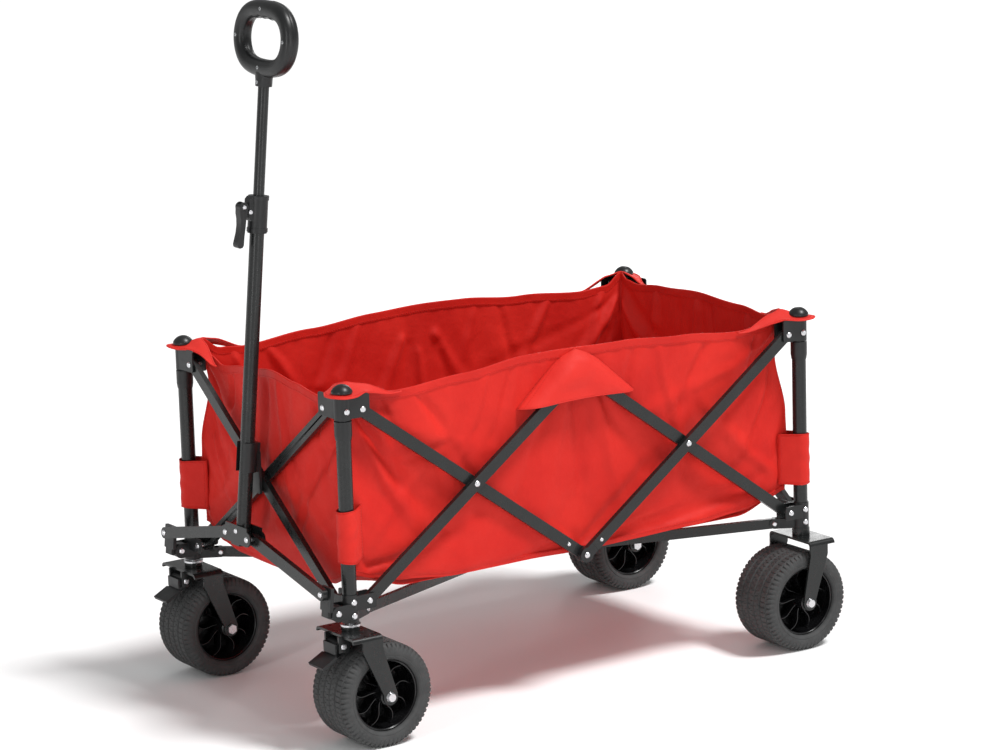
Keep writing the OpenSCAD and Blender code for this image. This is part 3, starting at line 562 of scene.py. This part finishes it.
END_FOLDS = [
    ((0.02, 0.86), (0.44, 0.30), -11, 17), ((0.98, 0.86), (0.58, 0.30), -11, 17),
    ((0.04, 0.94), (0.34, 0.58), 9, 12), ((0.96, 0.94), (0.68, 0.60), 9, 12),
    ((0.03, 0.12), (0.34, 0.55), 7, 15), ((0.97, 0.12), (0.66, 0.50), 7, 15),
    ((0.48, 0.95), (0.42, 0.25), -8, 14), ((0.56, 0.95), (0.62, 0.36), 7, 11),
    ((0.22, 0.95), (0.15, 0.36), -7, 12), ((0.80, 0.95), (0.87, 0.40), -7, 12),
    ((0.25, 0.08), (0.62, 0.20), 6, 12), ((0.36, 0.90), (0.30, 0.40), 6, 10),
    ((0.66, 0.20), (0.80, 0.70), -6, 12), ((0.08, 0.55), (0.24, 0.20), 6, 10),
]


def fold_height(folds, s, t, length):
    """Height of the designed folds at s, t on a wall of that length; they fade towards their far ends."""
    p = Vector((s * length, t * tub_h))
    total = 0.0
    for start, end, height, width in folds:
        a = Vector((start[0] * length, start[1] * tub_h))
        b = Vector((end[0] * length, end[1] * tub_h))
        run = b - a
        along = (p - a).dot(run) / run.length_squared
        clamped = min(max(along, 0.0), 1.0)
        away = (p - a - run * clamped).length / (width * MM * (0.6 + 0.8 * clamped))
        total += 1.35 * height * MM * (1 - away * away * 0.5) * math.exp(-away * away) * (1 - 0.5 * clamped)
    return total


def wall_piece(name, place, folds, length, outward, columns, rows):
    """Sheet with its designed folds and small creases, ready to settle."""
    flat, faces = grid(columns, rows, place)
    vertices = []
    for k, p in enumerate(flat):
        s, t = (k % (columns + 1)) / columns, (k // (columns + 1)) / rows
        hold = smooth(s / 0.04) * smooth((1 - s) / 0.04) * smooth(t / 0.06) * smooth((1 - t) / 0.1)
        slow = noise.noise(p * 11 + Vector((7, 3, 1)))
        crease = (0.5 - abs(slow)) * 3.4 * MM + noise.noise(p * 34) * 1.5 * MM
        vertices.append(p + outward * hold * (fold_height(folds, s, t, length) + crease))
    piece = make_object(name, vertices, faces, RED)
    return piece, flat


def hem_path(place, drop):
    return [place(k / TRIM_STEPS, 1.0) - Vector((0, 0, drop)) for k in range(TRIM_STEPS + 1)]


def band(name, points, outward, height, thickness, material):
    """Folded binding that hangs from the points, with a rounded top edge."""
    half = thickness / 2
    section = [(-half, -height), (-half, -half), (-half * 0.6, -half * 0.1), (0, 0.1 * MM),
               (half * 0.6, -half * 0.1), (half, -half), (half, -height), (0, -height - 0.3 * MM)]
    path = [(p, outward, Vector((0, 0, 1))) for p in points]
    vertices, faces = sweep(path, section)
    return make_object(name, vertices, faces, material, shade=False)


STITCH_PITCH = 4.6 * MM
STITCH_LENGTH = 3.2 * MM
STITCH_R = 0.42 * MM


def stitches(name, points, outward):
    """Row of short threads that lie on the outward face of a seam along the points."""
    sunk, proud = -STITCH_R, STITCH_R * 0.5
    shape = ((0, sunk), (STITCH_LENGTH * 0.2, proud), (STITCH_LENGTH * 0.8, proud), (STITCH_LENGTH, sunk))
    parts, travelled, at = [], 0.0, 0.0
    for a, b in zip(points, points[1:]):
        step = (b - a).length
        while at < travelled + step:
            start = a.lerp(b, (at - travelled) / step)
            along = (b - a).normalized()
            run = [start + outward * h + along * d for d, h in shape]
            parts.append(tube(run, STITCH_R, 6, outward))
            at += STITCH_PITCH
        travelled += step
    vertices, faces = joined(parts)
    return make_object(name, vertices, faces, THREAD)


# ---------- long and short walls, with hems, bindings and stitches ----------

def follow_wall(piece, body, axis, anchor, keep):
    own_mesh(piece)
    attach(piece, body)


def offset_points(points, outward, distance):
    return [p + outward * distance for p in points]


def build_walls():
    jobs, finish_jobs = [], []
    for label, side in (("left", 1), ("right", -1)):
        place = lambda s, t, side=side: side_wall(side, s, t)
        outward = Vector((side, 0, 0))
        piece, flat = wall_piece("side_wall_" + label, place, SIDE_FOLDS, 2 * tub_y, outward, *SIDE_CELLS)
        follow = ("front_%s_top" % label, (0, 1, 0), (0, mid_y - tub_y, 0), FOLD_KEEP_Y)
        jobs.append((piece, held_rows(*SIDE_CELLS, HEM_BAND / tub_h)))
        finish_jobs.append((piece, flat, outward, place, label + "_side", follow, 2 * tub_y))
    for label, end in (("front", -1), ("rear", 1)):
        place = lambda s, t, end=end: end_wall(end, s, t)
        outward = Vector((0, end, 0))
        piece, flat = wall_piece("end_wall_" + label, place, END_FOLDS, 2 * tub_x, outward, *END_CELLS)
        follow = (label + "_left_top", (1, 0, 0), (tub_x, 0, 0), FOLD_KEEP_X)
        jobs.append((piece, held_rows(*END_CELLS, HEM_BAND / tub_h)))
        finish_jobs.append((piece, flat, outward, place, label + "_end", follow, 2 * tub_x))
    settle(jobs, SPARE_CLOTH)
    for piece, flat, outward, place, label, follow, length in finish_jobs:
        limit(piece, flat, outward, OUT_MOST, IN_MOST)
        thicken(piece, CLOTH_T)
        smoother = piece.modifiers.new("smooth", "SUBSURF")
        smoother.levels = 1
        smoother.render_levels = 1
        hem = hem_path(place, -0.8 * MM)
        trims = [band("hem_" + label, hem, outward, HEM_BAND, 3.4 * MM, RED_BINDING)]
        line = hem_path(place, 11 * MM)
        for face, where in ((1, "out"), (-1, "in")):
            trims.append(stitches("hem_stitches_%s_%s" % (label, where),
                                  offset_points(line, outward, face * 1.75 * MM), outward * face))
        foot = [place(k / TRIM_STEPS, 0) for k in range(TRIM_STEPS + 1)]
        welt = offset_points([p + Vector((0, 0, 7 * MM)) for p in foot], outward, 0.9 * MM)
        trims.append(band("foot_binding_" + label, welt, outward, 8.5 * MM, 2.4 * MM, RED_BINDING))
        line = [p + outward * 1.3 * MM - Vector((0, 0, 1.6 * MM)) for p in welt]
        trims.append(stitches("foot_stitches_" + label, line, outward))
        for part in [piece] + trims:
            follow_wall(part, *follow)


# ---------- corner seams, tabs under the post caps, and sleeves round the posts ----------

def corner_point(corner, x, y, z):
    """Point in a corner's own frame: +x outboard and +y along the side towards the middle."""
    side, end = CORNERS[corner]
    return Vector((side * (post_x + x), mid_y + end * (post_y - y), z))


# a tab's borders in a corner's own frame, in millimetres, from the side wall round to the end wall
TAB_OUTER = [(-13, 118), (-9, 84), (0, 54), (13, 31), (23, 12), (25, -8), (19.5, -19.5), (8, -25), (-12, -23),
             (-31, -13), (-52, 0), (-70, 8), (-84, 13)]
TAB_INNER = [(-14, 118), (-14.5, 90), (-16, 60), (-19, 34), (-23, 23), (-34, 19), (-52, 16), (-70, 14.5),
             (-84, 14)]


def through(points, t):
    """Smooth curve through points in millimetres, t from 0 to 1."""
    at = t * (len(points) - 1)
    k = min(int(at), len(points) - 2)
    f = at - k
    a, b, c, d = (Vector(points[min(max(k + i, 0), len(points) - 1)]) for i in (-1, 0, 1, 2))
    return (b * 2 + (c - a) * f + (a * 2 - b * 5 + c * 4 - d) * f * f
            + (b * 3 - a - c * 3 + d) * f * f * f) / 2 * MM


def tab_point(corner, u, v, lift=0.0):
    """u from -1 to 1 round the tab, v from 0 at the outer border to 1 at the inner one, by the tub."""
    t = (1 + u) / 2
    outer, inner = through(TAB_OUTER, t), through(TAB_INNER, t)
    flat = outer.lerp(inner, v)
    far = abs(u)
    crown = 11 * MM * smooth((v - 0.35) / 0.65) * (1 - smooth(far / 0.8))
    droop = -2.6 * MM * (1 - v) ** 5 * (1 - smooth((far - 0.3) / 0.6))
    if u < 0:
        hem = curve(SIDE_HEM, (post_y - flat.y) / tub_y)
    else:
        hem = curve(END_HEM[CORNERS[corner][1]], (post_x + flat.x) / tub_x)
    wave = 0.8 * MM * math.sin(9 * u + 1) * (1 - v)
    z = mix(plate_z + 2.4 * MM + crown + droop + wave, floor_z + hem - 2 * MM, smooth((far - 0.42) / 0.5))
    return corner_point(corner, flat.x, flat.y, z + lift)


def build_tab(corner):
    vertices, faces = grid(48, 12, lambda u, v: tab_point(corner, 2 * u - 1, v))
    tab = make_object("corner_tab_" + corner, vertices, faces, RED_TAB)
    thicken(tab, 1.0 * MM)
    rims = []
    for v, name in ((0.0, "outer"), (1.0, "inner")):
        line = [tab_point(corner, 2 * k / 60 - 1, v) for k in range(61)]
        rims.append(make_object("tab_rim_%s_%s" % (name, corner), *tube(line, 1.25 * MM, 8), RED_TAB))
    line = [tab_point(corner, 1.8 * k / 60 - 0.9, 0.12, 0.5 * MM) for k in range(61)]
    rims.append(stitches("tab_stitches_" + corner, line, Vector((0, 0, 1))))
    for part in [tab] + rims:
        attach(part, corner + "_top")


# a sleeve's lower and upper edge, in millimetres over the ground
SLEEVES = {"front_left": (300, 383), "front_right": (293, 374),
           "rear_left": (282, 367), "rear_right": (288, 371)}


def sleeve_path(radius):
    """Plan of a sleeve: from the side wall round the outside of the post to the end wall, a tight belt."""
    starts = (Vector((-14.6, 36)) * MM, Vector((-36, 14.6)) * MM)
    open_angle = [math.acos(radius / p.length) for p in starts]
    first = math.atan2(starts[0].y, starts[0].x) - open_angle[0]
    last = math.atan2(starts[1].y, starts[1].x) + open_angle[1] - 2 * math.pi
    arc = [first + (last - first) * k / 24 for k in range(25)]
    points = [Vector((radius * math.cos(a), radius * math.sin(a))) for a in arc]
    lead = [starts[0].lerp(points[0], k / 6) for k in range(6)]
    tail = [points[-1].lerp(starts[1], k / 6) for k in range(1, 7)]
    return lead + points + tail


def build_sleeve(corner):
    low, high = (z * MM for z in SLEEVES[corner])
    plan = sleeve_path(post_r + 3.1 * MM)
    n = len(plan) - 1

    def place(u, v):
        p = plan[round(u * n)]
        sag = 1.5 * MM * math.sin(6 * math.pi * v + 9 * u) * smooth(u * 4) * smooth((1 - u) * 4)
        out = p.normalized() * (0.5 * MM + 0.5 * sag * (1 - abs(2 * v - 1)))
        wave = 1.2 * MM * math.sin(7 * u) * (2 * v - 1)
        return corner_point(corner, p.x + out.x, p.y + out.y, mix(low, high, v) + wave)

    vertices, faces = grid(n, 18, place)
    sleeve = make_object("post_sleeve_" + corner, vertices, faces, RED)
    thicken(sleeve, CLOTH_T)
    trims = []
    for v, name in ((0.0, "low"), (1.0, "high")):
        line = [place(k / n, v) for k in range(n + 1)]
        trims.append(make_object("sleeve_rim_%s_%s" % (name, corner), *tube(line, 0.9 * MM, 8), RED_BINDING))
    side, end = CORNERS[corner]
    for k, (u, out) in enumerate(((1 / n, Vector((side, 0, 0))), (1 - 1 / n, Vector((0, end, 0))))):
        line = [place(u, j / 18) + out * 0.6 * MM for j in range(19)]
        trims.append(stitches("sleeve_stitches_%d_%s" % (k, corner), line, out))
    for part in [sleeve] + trims:
        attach(part, corner + "_top")


def build_corner_seam(corner):
    side, end = CORNERS[corner]
    line = []
    for k in range(61):
        height = mix(SIDE_FOOT[-1][1], SIDE_HEM[-1][1], k / 60)
        pull = inset(height)
        line.append(Vector((side * (tub_x - pull), mid_y + end * (tub_y - pull), floor_z + height)))
    piping = tube(line, 1.7 * MM, 10, Vector((side, end, 0)))
    seam = make_object("corner_piping_" + corner, *piping, RED_BINDING)
    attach(seam, corner + "_top")


# ---------- flaps over the top side hinges ----------

FLAP_TOP = 341 * MM            # above the tub's underside
FLAP_LOW = 257 * MM
FLAP_HALF = 116 * MM


def flap_point(side, u, v):
    """u from -1 at the front edge to 1 at the rear one, v from 0 below to 1 at the rounded apex."""
    slope = 1 - v
    half = FLAP_HALF * (slope + 0.17 * (1 - slope) * math.sqrt(max(0.0, 1 - v ** 9)))
    y = u * half
    height = mix(FLAP_LOW, FLAP_TOP, v) - 3 * MM * smooth(v * 3 - 2) * u * u + 7 * MM * slope * (1 - u * u)
    bulge = (1 - abs(u) ** mix(7, 2.6, min(1, v * 1.4))) * (1 - v ** 6)
    crease = noise.noise(Vector((u * 2.2, v * 3, side * 2))) * 2.4 * MM * bulge
    x = tub_x + 1.4 * MM + 29 * MM * bulge + crease
    return Vector((side * x, mid_y + y, floor_z + height))


def build_flap(label, side):
    outward = Vector((side, 0, 0))
    vertices, faces = grid(56, 30, lambda u, v: flap_point(side, 2 * u - 1, v * 0.995))
    flap = make_object("hinge_flap_" + label, vertices, faces, RED_TAB)
    thicken(flap, CLOTH_T)
    trims = []
    for u, name in ((-1, "front"), (1, "rear")):
        line = [flap_point(side, u * 0.94, k / 60 * 0.97) + outward * 0.7 * MM for k in range(61)]
        trims.append(stitches("flap_stitches_%s_%s" % (name, label), line, outward))
    line = [flap_point(side, 2 * k / 60 - 1, 0) for k in range(61)]
    trims.append(make_object("flap_rim_" + label, *tube(line, 1.0 * MM, 8), RED_TAB))
    for part in [flap] + trims:
        follow_wall(part, "front_%s_top" % label, (0, 1, 0), (0, mid_y - tub_y, 0), FOLD_KEEP_Y)


# ---------- padded floor in four leaves, one on each strut ----------

LEAF_GAP = 0.25 * MM
LEAF_T = 6.4 * MM
LEAF_COLUMNS = 44
LEAF_ROWS = 80


def build_leaf(corner):
    side, end = CORNERS[corner]
    reach_x, reach_y = tub_x - 2.5 * MM, tub_y - 2.5 * MM
    floor_top = 7 * MM

    def surface(u, v, face):
        x, y = mix(LEAF_GAP, reach_x, u), mix(LEAF_GAP, reach_y, v)
        to_corner = math.hypot(reach_x - x, reach_y - y)
        lift = 30 * MM * (1 - smooth(to_corner / (105 * MM)))
        edge = min(u, 1 - u) * reach_x, min(v, 1 - v) * reach_y
        crown = min(1.0, min(edge) / (9 * MM)) ** 0.5
        quilt = abs(math.sin(math.pi * y / (72 * MM))) ** 0.5
        thick = LEAF_T * (0.18 + 0.82 * crown * (0.55 + 0.45 * quilt if face > 0 else 0.75))
        z = floor_top - LEAF_T / 2 + face * thick / 2 + lift
        return Vector((side * x, mid_y + end * y, floor_z + z))

    top, top_faces = grid(LEAF_COLUMNS, LEAF_ROWS, lambda u, v: surface(u, v, 1))
    low, low_faces = grid(LEAF_COLUMNS, LEAF_ROWS, lambda u, v: surface(u, v, -1))
    base = len(top)
    faces = top_faces + [tuple(reversed([i + base for i in f])) for f in low_faces]
    n = LEAF_COLUMNS + 1
    border = list(range(n)) + [j * n + LEAF_COLUMNS for j in range(1, LEAF_ROWS + 1)]
    border += [LEAF_ROWS * n + i for i in range(LEAF_COLUMNS - 1, -1, -1)]
    border += [j * n for j in range(LEAF_ROWS - 1, 0, -1)]
    for a, b in zip(border, border[1:] + border[:1]):
        faces.append((b, a, a + base, b + base))
    leaf = make_object("floor_pad_" + corner, top + low, faces, RED)
    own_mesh(leaf)
    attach(leaf, "floor_strut_" + corner)
    return leaf


# ---------- wheels ----------

TREAD = 5                       # ribs across the tread
SIPES = 60                      # cuts round each rib
TYRE_SEGMENTS = 360
TREAD_CELLS = 66
SPOKES = 9


def tyre_mesh(node):
    low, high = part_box(node)
    half_w, radius = (high.x - low.x) / 2, (high.z - low.z) / 2
    rim_r = (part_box("rim_front_left")[1].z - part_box("rim_front_left")[0].z) / 2
    shoulder = 12 * MM
    # profile from the inner bead, up the sidewall, over the tread and down again
    bead = [(rim_r + 0.4 * MM, 0.90), (rim_r + 2.5 * MM, 0.955), (rim_r + 6 * MM, 0.985),
            (rim_r + 7 * MM, 0.975), (rim_r + 8.5 * MM, 0.992), (rim_r + 12 * MM, 0.995)]
    profile = [(r, -half_w * x) for r, x in bead]
    tread_from = len(profile)
    for k in range(TREAD_CELLS + 1):
        x = mix(-1, 1, k / TREAD_CELLS)
        over = max(0.0, abs(x) * half_w - (half_w - shoulder)) / shoulder
        drop = shoulder * (1 - math.sqrt(max(0.0, 1 - over * over)))
        profile.append((radius - min(drop, shoulder), x * half_w))
    tread_to = len(profile)
    profile += [(r, half_w * x) for r, x in reversed(bead)]
    vertices, faces = [], []
    rib_half = (half_w - shoulder + 4 * MM) / TREAD
    step = TYRE_SEGMENTS // SIPES
    for k in range(TYRE_SEGMENTS):
        turn = 2 * math.pi * k / TYRE_SEGMENTS
        for n, (r, x) in enumerate(profile):
            depth = 0.0
            if tread_from <= n < tread_to:
                rib = x / (2 * rib_half)
                near = abs(rib - math.floor(rib) - 0.5)
                row = math.floor(rib)
                if abs(x) < half_w - shoulder + 4 * MM:
                    depth = 2.4 * MM if near < 0.1 * (2 - abs(x) / half_w) * 0.6 else 0.0
                    shift = (row * 2 + int(abs(x - row) / (7 * MM))) % step
                    if (k + shift) % step == 0:
                        depth = max(depth, 1.3 * MM)
                elif (k + (2 if x > 0 else 5)) % step in (0, 1):
                    depth = 2.6 * MM
            a = r - depth
            vertices.append(Vector((x, a * math.cos(turn), a * math.sin(turn))))
    count = len(profile)
    for k in range(TYRE_SEGMENTS):
        a, b = k * count, ((k + 1) % TYRE_SEGMENTS) * count
        faces += [(a + i, a + i + 1, b + i + 1, b + i) for i in range(count - 1)]
        faces.append((a + count - 1, a, b, b + count - 1))
    return vertices, faces


def rim_mesh(node):
    low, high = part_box(node)
    half_hub, radius = (high.x - low.x) / 2, (high.z - low.z) / 2
    lip = 0.86 * 49 * MM
    bore = 6.05 * MM
    dish = 15 * MM
    parts = []
    # barrel with a rolled lip on both sides
    half = [(radius - 6 * MM, dish), (radius - 4.6 * MM, dish + 6 * MM), (radius - 3.2 * MM, lip - 4 * MM),
            (radius - 3.4 * MM, lip - 0.8 * MM), (radius - 2 * MM, lip + 0.4 * MM), (radius - 0.2 * MM, lip),
            (radius, lip - 1.5 * MM)]
    parts.append(lathe(half + [(r, -x) for r, x in half[::-1]], 96))
    # hub boss and web
    hub = 14 * MM
    web = [(bore, half_hub), (hub - 2.5 * MM, half_hub), (hub, half_hub - 2.5 * MM),
           (hub + 1.2 * MM, dish + 4 * MM), (hub + 5 * MM, dish - 6 * MM), (radius - 12 * MM, dish - 9 * MM),
           (radius - 6 * MM, dish)]
    parts.append(lathe(web + [(r, -x) for r, x in web[::-1]], 96))
    parts.append(lathe([(bore, -half_hub), (bore, half_hub)], 48))
    # curved spokes that stand in the dish on both sides
    for face in (1, -1):
        for k in range(SPOKES):
            turn = 2 * math.pi * k / SPOKES
            line = []
            for j in range(13):
                t = j / 12
                r = mix(hub - 1 * MM, radius - 4.5 * MM, t)
                a = turn + 0.34 * math.sin(math.pi * t * 0.9) * face
                depth = mix(half_hub - 14 * MM, lip - 12 * MM, t) - 5 * MM * math.sin(math.pi * t)
                line.append(Vector((face * (depth + dish - 6 * MM) / 2, r * math.cos(a), r * math.sin(a))))
            path = []
            for i, p in enumerate(line):
                ahead = (line[min(i + 1, 12)] - line[max(i - 1, 0)]).normalized()
                tall = Vector((face, 0, 0))
                path.append((p, ahead.cross(tall).normalized(), tall))
            t_half, h_half = 1.5 * MM, (lip - dish) / 2 - 4 * MM
            section = [(-t_half, -h_half - 4 * MM), (t_half, -h_half - 4 * MM),
                       (t_half * 0.8, h_half - 1 * MM), (t_half * 0.4, h_half),
                       (-t_half * 0.4, h_half), (-t_half * 0.8, h_half - 1 * MM)]
            parts.append(sweep(path, section))
    return joined(parts)


def build_wheels():
    tyre_data, rim_data = tyre_mesh("tyre_front_left"), rim_mesh("rim_front_left")
    shared = {}
    for corner in CORNERS:
        for kind, data, material in (("tyre", tyre_data, RUBBER), ("rim", rim_data, GLOSS)):
            node = kind + "_" + corner
            name = kind + "_detail_" + corner
            if kind not in shared:
                piece = make_object(name, *data, material)
                shared[kind] = piece.data
                if kind == "rim":
                    face_out(piece.data)
                piece.data.set_sharp_from_angle(angle=math.radians(38))
            else:
                piece = bpy.data.objects.new(name, shared[kind])
                bpy.context.scene.collection.objects.link(piece)
            piece.location = middle(node)
            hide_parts(node)
            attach(piece, "wheel_" + corner)


# ---------- grip ----------

def handle_frame():
    """Directions across the handle, square to it and up along its tube."""
    slide = next(j for j in frame["joints"] if j["name"] == "handle_slide")
    up = Vector(slide["axis"]).normalized()
    across = Vector((1, 0, 0))
    return across, up.cross(across), up


def build_grip():
    across, back, up = handle_frame()
    nodes = frame["nodes"]
    points = np.array([v.co for n in ("grip_front", "grip_back") for v in nodes[n].data.vertices], float)
    local = np.stack([points @ np.array(a) for a in (across, back, up)], axis=1)
    top, low, half_w = local[:, 2].max(), local[:, 2].min(), local[:, 0].max()
    neck_h = 16 * MM
    half_h = (top - low - neck_h) / 2
    # the screws' heads stand 0.9 mm in front of the shells
    depth_mid = (local[:, 1].max() + local[:, 1].min() + 0.9 * MM) / 2
    half_t = 13.9 * MM
    bar = 13 * MM
    centre = back * depth_mid + up * (top - half_h)

    def spine(turn):
        """Middle line of the loop: a flattened ring."""
        run, r = half_w - half_h, half_h - bar
        c, s = math.cos(turn), math.sin(turn)
        return Vector((run * math.tanh(c * 2.6) / math.tanh(2.6) + r * c, r * s))

    def ring_point(turn, round_angle):
        """The loop's section is a fat oval, flatter inside, with finger hollows under its upper bar."""
        p = spine(turn)
        step = spine(turn + 0.01) - spine(turn - 0.01)
        out = Vector((step.y, -step.x)).normalized()
        c, s = math.cos(round_angle), math.sin(round_angle)
        wide = bar * (1 + 0.1 * abs(math.sin(turn)) ** 3)
        reach = wide * math.copysign(abs(c) ** 0.8, c)
        if c < 0 and p.y > 0:
            grooves = abs(math.sin(p.x * math.pi / (24 * MM)))
            reach -= -c * 2.2 * MM * (1 - grooves) * smooth((42 * MM - abs(p.x)) / (10 * MM))
        lift = min(reach, half_h - abs(p.y)) if c > 0 and abs(out.y) > 0.999 else reach
        return p + out * lift, half_t * math.copysign(abs(s) ** 0.85, s)

    for name, face in (("front", -1), ("back", 1)):
        def place(u, v, face=face):
            q, depth = ring_point(2 * math.pi * u, math.pi * v)
            edge = 1 - smooth(abs(depth) / (0.9 * MM))
            p = spine(2 * math.pi * u)
            q = p + (q - p) * (1 - 0.03 * edge)
            return centre + across * q.x + up * q.y + back * (face * max(depth, 0.12 * MM))

        columns, rows = 160, 24
        shell, faces = grid(columns, rows, place, close_u=True)
        last = rows * columns
        faces += [(i, last + i, last + (i + 1) % columns, (i + 1) % columns) for i in range(columns)]
        parts = [(shell, faces)]
        # neck that takes the upper tube
        neck, sides = [], 20
        for z, w, t in ((-16, 14.6, 12.5), (-15, 15.2, 13), (-5, 15.4, 13.2), (2, 17.5, 13.4), (8, 24, 13.2),
                        (12, 31, 12.4), (15, 34, 11)):
            for k in range(sides + 1):
                turn = math.pi * k / sides
                neck.append(centre + across * (w * MM * math.cos(turn))
                            + back * (face * (0.12 + t * math.sin(turn)) * MM) + up * (-half_h + z * MM))
        n = sides + 1
        levels = len(neck) // n
        neck_faces = [(j * n + k, j * n + (k + 1) % n, (j + 1) * n + (k + 1) % n, (j + 1) * n + k)
                      for j in range(levels - 1) for k in range(n)]
        neck_faces += [tuple(range(n - 1, -1, -1)), tuple((levels - 1) * n + k for k in range(n))]
        parts.append((neck, neck_faces))
        piece = make_object("grip_shell_" + name, *joined(parts), GRIP_PLASTIC)
        face_out(piece.data)
        piece.data.shade_smooth()
        piece.data.set_sharp_from_angle(angle=math.radians(50))
        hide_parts("grip_" + name)
        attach(piece, "handle_upper")
    for k, (x, z) in enumerate(((-half_w / MM + 13, 0), (half_w / MM - 13, 0), (0, half_h / MM - 13),
                                (0, 14 - half_h / MM), (0, -half_h / MM - 9))):
        spot = centre + across * x * MM + up * z * MM - back * (half_t - 0.6 * MM)
        screw = make_object("grip_screw_%d" % k, *screw_head(spot, -back, 3.2 * MM), STEEL)
        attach(screw, "handle_upper")


def screw_head(spot, out, radius):
    """Domed head with a hexagon recess, facing out."""
    side = out.orthogonal().normalized()
    other = out.cross(side)
    rings = [(1.0, -0.6), (1.0, 0.5), (0.86, 1.0), (0.52, 1.15), (0.45, 1.0), (0.42, -0.3)]
    vertices, faces = [], []
    n = 24
    for r, h in rings:
        for k in range(n):
            a = 2 * math.pi * k / n
            vertices.append(spot + side * (radius * r * math.cos(a)) + other * (radius * r * math.sin(a))
                            + out * (h * 0.8 * MM))
    for j in range(len(rings) - 1):
        faces += [(j * n + k, j * n + (k + 1) % n, (j + 1) * n + (k + 1) % n, (j + 1) * n + k)
                  for k in range(n)]
    faces.append(tuple(range((len(rings) - 1) * n, len(rings) * n)))
    faces.append(tuple(range(n - 1, -1, -1)))
    return vertices, faces


# ---------- stage, light and camera ----------

def aim(lamp, name, place):
    holder = bpy.data.objects.new(name, lamp)
    holder.location = place
    holder.rotation_mode = "QUATERNION"
    holder.rotation_quaternion = (Vector((0, 0, 0.4)) - Vector(place)).to_track_quat("-Z", "Y")
    bpy.context.scene.collection.objects.link(holder)


def build_stage():
    material, tree, shader, place = new_material("pale_floor", (0.93, 0.93, 0.93), 0.7)
    shade = ramp(tree, noise_of(tree, place, 3, 2), [(0.3, 0.93), (0.7, 0.95)])
    tree.links.new(shade, shader.inputs["Base Color"])
    shader.inputs["Specular IOR Level"].default_value = 0.1
    span = 60
    floor = make_object("floor", [Vector(p) for p in
                                  ((-span, -span, 0), (span, -span, 0), (span, span, 0), (-span, span, 0))],
                        [(0, 1, 2, 3)], material)
    world = bpy.data.worlds.new("studio")
    world.use_nodes = True
    world.node_tree.nodes["Background"].inputs["Color"].default_value = (1.0, 1.0, 1.0, 1)
    world.node_tree.nodes["Background"].inputs["Strength"].default_value = 0.38
    bpy.context.scene.world = world
    sun = bpy.data.lights.new("sky", "SUN")
    sun.energy = 2.9
    sun.angle = math.radians(14)
    aim(sun, "sky", (1.6, 1.3, 4.2))
    for name, place, size, watts in (("strip_front", (1.6, -3.6, 1.6), (0.3, 2.4), 26),
                                     ("strip_side", (3.8, -0.6, 1.5), (0.3, 2.4), 20),
                                     ("strip_back", (-2.6, 2.6, 1.8), (0.5, 2.4), 14)):
        lamp = bpy.data.lights.new(name, "AREA")
        lamp.shape = "RECTANGLE"
        lamp.size, lamp.size_y = size
        lamp.energy = watts
        aim(lamp, name, place)
    bpy.context.scene.view_settings.view_transform = "Standard"


def build_camera():
    azimuth, elevation, roll = (math.radians(a) for a in (56.24, 12.3, -1.68))
    right = Vector((math.cos(azimuth), math.sin(azimuth), 0))
    back = Vector((math.sin(azimuth) * math.cos(elevation), -math.cos(azimuth) * math.cos(elevation),
                   math.sin(elevation)))
    up = back.cross(right)
    rolled_right = right * math.cos(roll) + up * math.sin(roll)
    rolled_up = up * math.cos(roll) - right * math.sin(roll)
    data = bpy.data.cameras.new("camera")
    data.sensor_width = 36
    data.lens = 135.4
    data.clip_end = 100
    camera = bpy.data.objects.new("camera", data)
    turn = Matrix((rolled_right, rolled_up, back)).transposed().to_4x4()
    camera.matrix_world = Matrix.Translation(Vector((5.1282, -3.4161 + mid_y, 1.8361))) @ turn
    bpy.context.scene.collection.objects.link(camera)
    bpy.context.scene.camera = camera


build_camera()
build_stage()
dress_frame()
build_walls()
for name in CORNERS:
    build_tab(name)
    build_sleeve(name)
    build_corner_seam(name)
leaves = [build_leaf(name) for name in CORNERS]
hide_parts("basket")
build_flap("left", 1)
build_flap("right", -1)
build_wheels()
build_grip()
